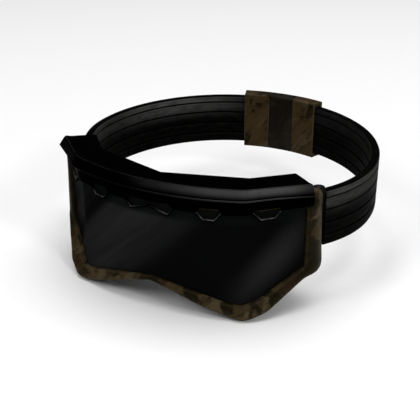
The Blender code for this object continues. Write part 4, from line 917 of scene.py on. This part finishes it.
def cheek(side):
    """A filled end of the bar, a wall thick."""
    bm = bmesh.new()
    along, inner = side * (BROW_HALF - CHEEK_INSET), side * (BROW_HALF - BROW_WALL)
    outline = [bar_face(along, out, z, CHEEK_UNDER) for out, z, _ in BROW_FACE[1:]]
    outline += [bar_shelf(along, share, z - CHEEK_UNDER) for share, z in SHELF_TOP[:-1]]
    outline += [
        drooped(onto_face(along, z, -depth), along)
        for depth, z in ((CHEEK_BACK, CHEEK_TOP), (RIM_DEPTH, CHEEK_TOP), (RIM_DEPTH, CHEEK_LOW))
    ]
    bmesh.ops.contextual_create(bm, geom=[bm.verts.new(spot) for spot in outline])
    thickened(bm, onto_face(inner, 0.0, 0.0) - onto_face(along, 0.0, 0.0))
    return bm


def added(bm, *others):
    """One mesh that holds all the given closed shells."""
    for other in others:
        mesh = bpy.data.meshes.new("part")
        other.to_mesh(mesh)
        other.free()
        bm.from_mesh(mesh)
        bpy.data.meshes.remove(mesh)
    return bm


cheeks = [cheek(1), cheek(-1)]
print("cheeks:", [len(bm.faces) for bm in cheeks])

# %% [markdown]
# The skirt is a plain sheet under the bar. Five vent windows cut its lower edge, and each has
# a thin rim that hangs below the skirt like half a hexagon. The middle one is wide, with a
# raised middle, above the nose. The corners of each are shares of its width and height.

# %% Brow skirt
SKIRT_HALF, SKIRT_TOP, SKIRT_EASE, SKIRT_STRIP = 0.1036, 0.0768, 0.00045, 0.002
WINDOW_TOP, WINDOW_WAIST, WINDOW_BOTTOM, WINDOW_RIM = 0.075, 0.0711, 0.0652, 0.0013
HIGHLIGHT_BELOW = SKIRT_LOW - 0.0002
MIDDLE_WINDOW = (
    (-1.0, 0.0), (-0.76, -1.0), (0.0, -0.32), (0.76, -1.0), (1.0, 0.0), (0.8, 0.9),
    (0.0, 0.8), (-0.8, 0.9),
)
INNER_WINDOW = (
    (0.0, 0.1), (0.29, -0.95), (0.72, -0.95), (1.0, 0.15), (0.87, 1.0), (0.19, 1.0),
)
WING_WINDOW = (
    (0.0, 0.25), (0.32, -1.0), (0.78, -1.0), (1.0, -0.1), (0.93, 0.7), (0.05, 0.7),
)
MIDDLE_HALF, INNER_PLACE, WING_PLACE = 0.0173, (0.0288, 0.0183), (0.0625, 0.0215)


def window(shares, start, width):
    """A window's outer outline from shares of its width and height."""
    rise, drop = WINDOW_TOP - WINDOW_WAIST, WINDOW_WAIST - WINDOW_BOTTOM
    return [
        (start + across * width, WINDOW_WAIST + up * (rise if up > 0 else drop))
        for across, up in shares
    ]


middle, inner, wing = (
    window(shares, *place)
    for shares, place in (
        (MIDDLE_WINDOW, (0.0, MIDDLE_HALF)), (INNER_WINDOW, INNER_PLACE), (WING_WINDOW, WING_PLACE),
    )
)
windows = [mirrored(wing), mirrored(inner), middle, inner, wing]


def hanging(outline):
    """The part of a window's rim that hangs below the skirt, from left to right."""
    crossings = []
    for (x1, z1), (x2, z2) in zip(outline, outline[1:] + outline[:1]):
        if (z1 > SKIRT_LOW) != (z2 > SKIRT_LOW):
            crossings.append((x1 + (SKIRT_LOW - z1) / (z2 - z1) * (x2 - x1), SKIRT_LOW))
    return sorted(crossings + [point for point in outline if point[1] < SKIRT_LOW])


skirt_edge = [(-SKIRT_HALF, SKIRT_LOW)]
for outline in windows:
    skirt_edge += hanging(outline)
skirt_edge += [(SKIRT_HALF, SKIRT_LOW), (SKIRT_HALF, SKIRT_TOP), (-SKIRT_HALF, SKIRT_TOP)]
holes = [grown(outline, -WINDOW_RIM) for outline in windows]
# The windows' lower rims get a painted highlight.
skirt = sheet(skirt_edge, holes, 0.0, BROW_WALL, SKIRT_EASE, hole_highlight=0.8, highlight_below=HIGHLIGHT_BELOW)
brow = added(brow, bent(skirt, SKIRT_STRIP), *cheeks)
finished("gloss_brow_guard", brow, gloss_black, "frame", "brow_guard", smooth=32)

# %% [markdown]
# ## The strap
# The strap has the same ribbed section all along. Four grooves part five crowned ribs, and the
# crests of the ribs carry the scuffs and the painted sheen.

# %% Strap section
STRAP_LOW, STRAP_TOP = (corner.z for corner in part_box("strap_left"))
STRAP_TALL, STRAP_THICK, LOOP_RADIUS = STRAP_TOP - STRAP_LOW, 0.0058, 0.0983
STRAP_EASE, EDGE_IN, EDGE_DOWN, EDGE_FLAT = 0.0011, 0.0005, 0.0004, 0.0012
GROOVES = (0.205, 0.43, 0.65, 0.865)
GROOVE_DEPTH, GROOVE_TOP_HALF, GROOVE_FLOOR_HALF, CROWN = 0.001, 0.00085, 0.00035, 0.00022
RIB = (
    (0.0, 0.55, 0.0), (0.08, 0.25, 0.35), (0.3, 0.06, 0.15), (0.5, 0.0, 0.15), (0.7, 0.06, 0.2),
    (0.92, 0.25, 0.9), (1.0, 0.55, 0.35),
)


def ribbed_face():
    """Depths and heights up one face of the strap, with shares of wear and painted sheen."""
    rows = []
    borders = [0.0, *[share * STRAP_TALL for share in GROOVES], STRAP_TALL]
    for low, high in zip(borders, borders[1:]):
        start = low + (GROOVE_TOP_HALF if low else EDGE_FLAT)
        end = high - (GROOVE_TOP_HALF if high < STRAP_TALL else EDGE_FLAT)
        rows += [(crown * CROWN, start + share * (end - start), wear_and_highlight_share) for share, crown, wear_and_highlight_share in RIB]
        if high < STRAP_TALL:
            rows += [(GROOVE_DEPTH, high + side * GROOVE_FLOOR_HALF, 0.0) for side in (-1, 1)]
    return rows


def strap_edge(level, inward):
    """The strap's rounded edge at a level, from the outer face to the inner one."""
    inner, outer, near = LOOP_RADIUS, LOOP_RADIUS + STRAP_THICK, level + inward * EDGE_DOWN
    return [
        (outer - EDGE_IN, near, 0.0), (outer - STRAP_EASE, level, 0.0),
        (inner + STRAP_EASE, level, 0.0), (inner + EDGE_IN, near, 0.0),
    ]


def strap_section():
    """The closed section as radius, height and wear, anticlockwise."""
    face, outer = ribbed_face(), LOOP_RADIUS + STRAP_THICK
    right = [(outer - depth, STRAP_LOW + z, wear_and_highlight_share) for depth, z, wear_and_highlight_share in face]
    left = [(LOOP_RADIUS + depth, STRAP_LOW + z, wear_and_highlight_share) for depth, z, wear_and_highlight_share in reversed(face)]
    return right + strap_edge(STRAP_TOP, -1) + left + strap_edge(STRAP_LOW, 1)[::-1]


print("points in the strap's section:", len(strap_section()))

# %% [markdown]
# Each half is the section spun round the head's loop, and then on round a tighter arc to its
# pin. The spin operator does both.

# %% Strap halves
def middle_of(node):
    """The middle of a node's box."""
    low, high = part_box(node)
    return (low + high) / 2


PIN = middle_of("strap_pin_left")
CLASP_ANGLE, KNUCKLE_REACH, LOOP_STEPS, FRONT_STEPS = math.radians(11.8), 0.0042, 44, 16


def strap_half(side):
    """One half: the loop's arc and the front arc, both spun from the loop's widest place."""
    middle_radius = LOOP_RADIUS + STRAP_THICK / 2
    across, back = middle_radius - PIN.x, LOOP_Y - PIN.y
    radius = (across ** 2 + back ** 2) / (2 * across)
    front_turn = math.asin(back / radius) - KNUCKLE_REACH / radius
    bm = bmesh.new()
    layer = bm.verts.layers.float.new("worn")
    for centre_x, angle, steps in (
        (0.0, math.pi / 2 - CLASP_ANGLE, LOOP_STEPS),
        (middle_radius - radius, -front_turn, FRONT_STEPS),
    ):
        verts = []
        for place, height, wear_and_highlight_share in strap_section():
            vert = bm.verts.new((place, LOOP_Y, height))
            vert[layer] = wear_and_highlight_share
            verts.append(vert)
        ring = [bm.edges.new((verts[i - 1], verts[i])) for i in range(len(verts))]
        bmesh.ops.spin(
            bm, geom=verts + ring, cent=(centre_x, LOOP_Y, 0), axis=(0, 0, 1), angle=angle,
            steps=steps,
        )
    bmesh.ops.scale(bm, verts=bm.verts, vec=(side, 1, 1))
    return closed(bm)


SIDES = (("left", 1), ("right", -1))
for side, sign in SIDES:
    finished(
        "ribbed_strap_" + side, strap_half(sign), strap_rubber, "strap_half_" + side,
        "strap_" + side, smooth=60,
    )

# %% [markdown]
# ## Eased copies of hard parts
# The clasp's covers, the chassis, the brackets and the pins already have the right shape in
# the CAD model. A moulding has no razor edges, though. Each is copied, merged, its flat faces
# joined up, and its edges eased with the bevel operator. The new faces are marked as wear,
# which on the camouflaged clasp covers also stands as a painted highlight along the bevels.

# %% Eased copies
FLAT, SHARP, SHORTEST_EDGE = math.radians(0.6), math.radians(28), 2.2


def clothe(node, look, body, ease, wear_and_highlight_share):
    """Replaces a CAD node by a merged copy with eased edges."""
    bm = copy_of(node)
    bmesh.ops.dissolve_limit(bm, angle_limit=FLAT, verts=bm.verts, edges=bm.edges)
    layer = bm.faces.layers.float.new("worn")
    if ease:
        chosen = [
            edge for edge in bm.edges
            if len(edge.link_faces) == 2 and edge.calc_face_angle() > SHARP
            and edge.calc_length() > SHORTEST_EDGE * ease
        ]
        for face in eased(bm, chosen, ease):
            face[layer] = wear_and_highlight_share
    return finished("eased_" + node, bm, look, body, node)


for side, _ in SIDES:
    half = "strap_half_" + side
    clothe("clasp_inner_" + side, clasp_camouflage, half, 0.0007, 1.0)
    clothe("clasp_outer_" + side, clasp_camouflage, half, 0.0004, 1.0)
    clothe("strap_end_" + side, frame_black, half, 0.0003, 0.7)
    clothe("strap_bracket_" + side, frame_black, "frame", 0.00035, 0.5)
    clothe("strap_pin_" + side, steel, "frame", 0.00025, 1.0)

# %% [markdown]
# The dark middle of the clasp holds the release button. Its link and tongue hide inside, and
# its two springs sit under the button's flange. On the real clasp a spring's inner end stays on
# its seat while the button pushes the other end, squashing it; here each spring is a plain copy
# with a mesh of its own.

# %% Clasp middle and chassis
HALF, BUTTON_TRAVEL = "strap_half_left", 0.0015
clothe("clasp_socket_inner", dark_plastic, HALF, 0.0006, 0.6)
clothe("clasp_socket_outer", dark_plastic, HALF, 0.0003, 0.6)
clothe("clasp_link", frame_black, HALF, 0.00025, 0.3)
clothe("clasp_tongue", frame_black, "strap_half_right", 0.0002, 0.3)
clothe("release_button", dark_plastic, "button", 0.0003, 0.8)
for end in ("upper", "lower"):
    spring = clothe("button_spring_" + end, steel, HALF, 0.0, 0.0)
    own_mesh(spring)
clothe("rear_frame", frame_black, "frame", 0.0003, 0.3)
clothe("lens_inner", clear_lens, "frame", 0.0, 0.0)

# %% [markdown]
# ## Screws
# The bracket screws and the clasp screws have pan heads with a round recess. The head is a
# short cone whose rim is eased, and the recess is inset and pushed in from its top face. Each
# screw stands on the axis of the CAD's own one.

# %% Screws
HEAD_RADIUS, HEAD_TOP_RADIUS, HEAD_TALL, HEAD_EASE = 0.0019, 0.001634, 0.0009, 0.0003
RECESS_RIM, RECESS_DEPTH, SHANK_RADIUS, TIP_RADIUS, SHANK_LAP = 0.00065, 0.0005, 0.001, 0.0008, 0.4


def turned(sides, low_radius, top_radius, low, top):
    """A closed cone on the z axis between two heights."""
    bm = bmesh.new()
    bmesh.ops.create_cone(
        bm, cap_ends=True, segments=sides, radius1=low_radius, radius2=top_radius, depth=top - low,
    )
    bmesh.ops.translate(bm, verts=bm.verts, vec=(0, 0, (low + top) / 2))
    return bm


def top_face(bm):
    """The highest face of a mesh."""
    return max(bm.faces, key=lambda face: face.calc_center_median().z)


def screw(node, body, direction):
    """A turned screw on its CAD node's axis: its head faces along direction."""
    centre = middle_of(node)
    reach = [(vert.co - centre).dot(direction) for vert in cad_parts[node].data.vertices]
    tip, top = min(reach), max(reach)
    bm = turned(32, HEAD_RADIUS, HEAD_TOP_RADIUS, top - HEAD_TALL, top)
    eased(bm, top_face(bm).edges[:], HEAD_EASE)
    cap = top_face(bm)
    bmesh.ops.inset_region(bm, faces=[cap], thickness=RECESS_RIM, depth=0.0)
    bmesh.ops.translate(bm, verts=cap.verts, vec=(0, 0, -RECESS_DEPTH))
    shank_top = top - HEAD_TALL * (1.0 - SHANK_LAP)
    bm = added(bm, turned(20, TIP_RADIUS, SHANK_RADIUS, tip, shank_top))
    turn = Vector((0, 0, 1)).rotation_difference(direction).to_matrix().to_4x4()
    bmesh.ops.transform(bm, matrix=Matrix.Translation(centre) @ turn, verts=bm.verts)
    return finished("turned_" + node, bm, steel, body, node)


for side, sign in SIDES:
    for number in (1, 2, 3):
        node = f"clasp_screw_{side}_{number}"
        away = middle_of(node) - Vector((0, LOOP_Y, 0))
        screw(node, "strap_half_" + side, Vector((away.x, away.y, 0)).normalized())
    for number in (1, 2):
        inward = Vector((-sign * math.sin(WING_ANGLE), math.cos(WING_ANGLE), 0))
        screw(f"bracket_screw_{side}_{number}", "frame", inward)

# %% [markdown]
# ## The face cushion
# The cushion is foam on a curved seat, with a fleece face. Foam is cut from sheet, so it is a
# square strip whose edges swell where it was cut.

# %% Ring of foam
BODY_EDGE = (
    (0.0, 0.0198), (0.04464, 0.00758), (0.054, 0.00331), (0.06192, 0.00331),
    (0.06804, 0.01132), (0.072, 0.02308), (0.072, 0.0631), (0.065, 0.0721), (0.0, 0.0721),
)
RING_OUT, RING_WIDTH, RING_STEP = 0.001, 0.0108, 0.003


def spaced(loop, step):
    """A closed loop with points added so that none are further apart than step."""
    made = []
    for first, second in zip(loop, loop[1:] + loop[:1]):
        run = math.dist(first[:2], second[:2])
        made += rows_between(first, second, max(1, math.ceil(run / step)))
    return made


body_loop = whole(BODY_EDGE)
ring_rows = [
    (*outer, *inner)
    for outer, inner in zip(grown(body_loop, RING_OUT), grown(body_loop, RING_OUT - RING_WIDTH))
]
ring_rows = eased_rows(spaced(ring_rows, RING_STEP), 2)


def ring_of(section):
    """A ring on the curved seat: each point of its section has a share across and a depth."""
    def place(column, row):
        outer_x, outer_z, inner_x, inner_z = ring_rows[row]
        across, depth = section[column]
        x = outer_x + (inner_x - outer_x) * across
        z = outer_z + (inner_z - outer_z) * across
        radius = FACE_RADIUS + depth
        return Vector((x, FACE_Y - math.sqrt(radius ** 2 - x ** 2), z)), 0.0
    return carried(len(section), len(ring_rows), place, round_path=True)


FOAM_SECTION = (
    (0.05, 0.0019), (0.2, 0.0016), (0.5, 0.0016), (0.8, 0.0016), (0.95, 0.0019),
    (0.97, 0.005), (0.97, 0.0085), (0.95, 0.0113), (0.8, 0.0117), (0.5, 0.0117),
    (0.2, 0.0117), (0.05, 0.0113), (0.03, 0.0085), (0.03, 0.005),
)
cushion = ring_of(FOAM_SECTION)
cushion = finished("foam_cushion", cushion, foam, "frame", "face_foam", smooth=60)

# %% [markdown]
# A small cloth simulation with air pressure gives that swell. The foam is voxel remeshed and
# inflated for twenty frames, and each point is kept within half a millimetre of where it began.

# %% Swell of the cushion
VOXEL, PRESSURE, MOST_SWELL, SWELL_FRAMES = 0.0014, 3.0, 0.0005, 20


def swell(piece):
    """Inflates a soft piece with Blender's cloth and keeps each point near where it began."""
    bpy.context.view_layer.objects.active = piece
    remesh = piece.modifiers.new("remesh", "REMESH")
    remesh.mode, remesh.voxel_size = "VOXEL", VOXEL
    bpy.ops.object.modifier_apply(modifier=remesh.name)
    start = [vert.co.copy() for vert in piece.data.vertices]
    cloth = piece.modifiers.new("swell", "CLOTH")
    cloth.settings.use_pressure = True
    cloth.settings.uniform_pressure_force = PRESSURE
    cloth.settings.effector_weights.gravity = 0.0
    cloth.settings.quality = 4
    cloth.collision_settings.use_collision = False
    cloth.point_cache.frame_start, cloth.point_cache.frame_end = 1, SWELL_FRAMES
    for number in range(1, SWELL_FRAMES + 1):
        bpy.context.scene.frame_set(number)
    shaped = piece.evaluated_get(bpy.context.evaluated_depsgraph_get())
    ends = [vert.co.copy() for vert in shaped.data.vertices]
    piece.modifiers.remove(cloth)
    bpy.context.scene.frame_set(1)
    for vert, first, last in zip(piece.data.vertices, start, ends):
        move = last - first
        vert.co = first + move * min(1.0, MOST_SWELL / max(move.length, MERGE))
    piece.data.shade_smooth()
    smooth = piece.modifiers.new("subdivision", "SUBSURF")
    smooth.levels = smooth.render_levels = 1
    bpy.ops.object.modifier_apply(modifier=smooth.name)
    print(piece.name, "swelled:", len(piece.data.polygons), "faces")


swell(cushion)

# %% [markdown]
# The fleece is glued to the cushion's face. It is a thin layer with a soft crowned face that
# rolls over both corners of the foam, and a shallow stitched channel runs round near its inner
# edge.

# %% Fleece
FLEECE_SECTION = (
    (-0.02, 0.002), (0.0, 0.001), (0.06, 0.0003), (0.25, 0.0), (0.5, -0.0002), (0.68, 0.0),
    (0.74, 0.0002), (0.78, 0.00055), (0.82, 0.0002), (0.92, 0.0003), (1.0, 0.001),
    (1.02, 0.002), (0.96, 0.0022), (0.9, 0.0014), (0.5, 0.0013), (0.1, 0.0014),
    (0.04, 0.0022),
)
lining = ring_of(FLEECE_SECTION)
lining = finished("fleece_face", lining, fleece, "frame", "face_lining", smooth=60)

# %% [markdown]
# ## Vent filters and the lens spacer
# Thin strips of open foam lie behind the vents, and a foam frame holds the two lenses apart.
# Each strip is cut finely and its points are moved a little by noise, so that its faces are
# slightly uneven like cut foam. The noise is a fixed function of place, so it never changes.

# %% Foam strips
LEAST_SINK, SINK_RANGE, NOISE_SCALE = 0.6, 0.4, 700


def uneven(node, name, cell, depth):
    """A finely cut copy of a foam node with slightly uneven faces."""
    bm = copy_of(node)
    low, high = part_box(node)
    for axis, normal in enumerate(Matrix.Identity(3)):
        run = high[axis] - low[axis]
        count = int(run / cell)
        for index in range(1, count + 1):
            cut(bm, low + normal * (index * run / (count + 1)), normal)
    bm.normal_update()
    moves = [
        -vert.normal * depth * (LEAST_SINK + SINK_RANGE * noise.noise(vert.co * NOISE_SCALE))
        for vert in bm.verts
    ]
    for vert, move in zip(bm.verts, moves):
        vert.co += move
    return finished(name, bm, foam, "frame", node, smooth=60)


for name in ("top_vent_filter", "bottom_vent_filter_left", "bottom_vent_filter_right"):
    uneven(name, "foam_" + name, 0.0011, 0.00018)
uneven("lens_spacer", "foam_lens_spacer", 0.003, 0.0001)

# %% [markdown]
# ## Floor
# A plain white floor catches a soft shadow. It is a large disc, well beyond the view.

# %% Floor and world
FLOOR_RADIUS, FLOOR_DROP, FLOOR_WHITE, SKY_STRENGTH = 6.0, 0.0006, 0.9, 0.18

floor_bm = bmesh.new()
bmesh.ops.create_circle(floor_bm, cap_ends=True, segments=64, radius=FLOOR_RADIUS)
bmesh.ops.translate(floor_bm, verts=floor_bm.verts, vec=(0, 0, -FLOOR_DROP))
floor_mesh = bpy.data.meshes.new("floor")
floor_bm.to_mesh(floor_mesh)
floor_bm.free()
white = (FLOOR_WHITE, FLOOR_WHITE, FLOOR_WHITE, 1.0)
floor_mesh.materials.append(Paint("floor_white", Base_Color=white, Roughness=0.9).material)
ground = placed("floor", floor_mesh)

world = bpy.data.worlds.new("studio")
world.use_nodes = True
bpy.context.scene.world = world
sky = world.node_tree.nodes["Background"]
sky.inputs["Color"].default_value = (1.0, 1.0, 1.0, 1.0)
sky.inputs["Strength"].default_value = SKY_STRENGTH
print("floor and world are ready")
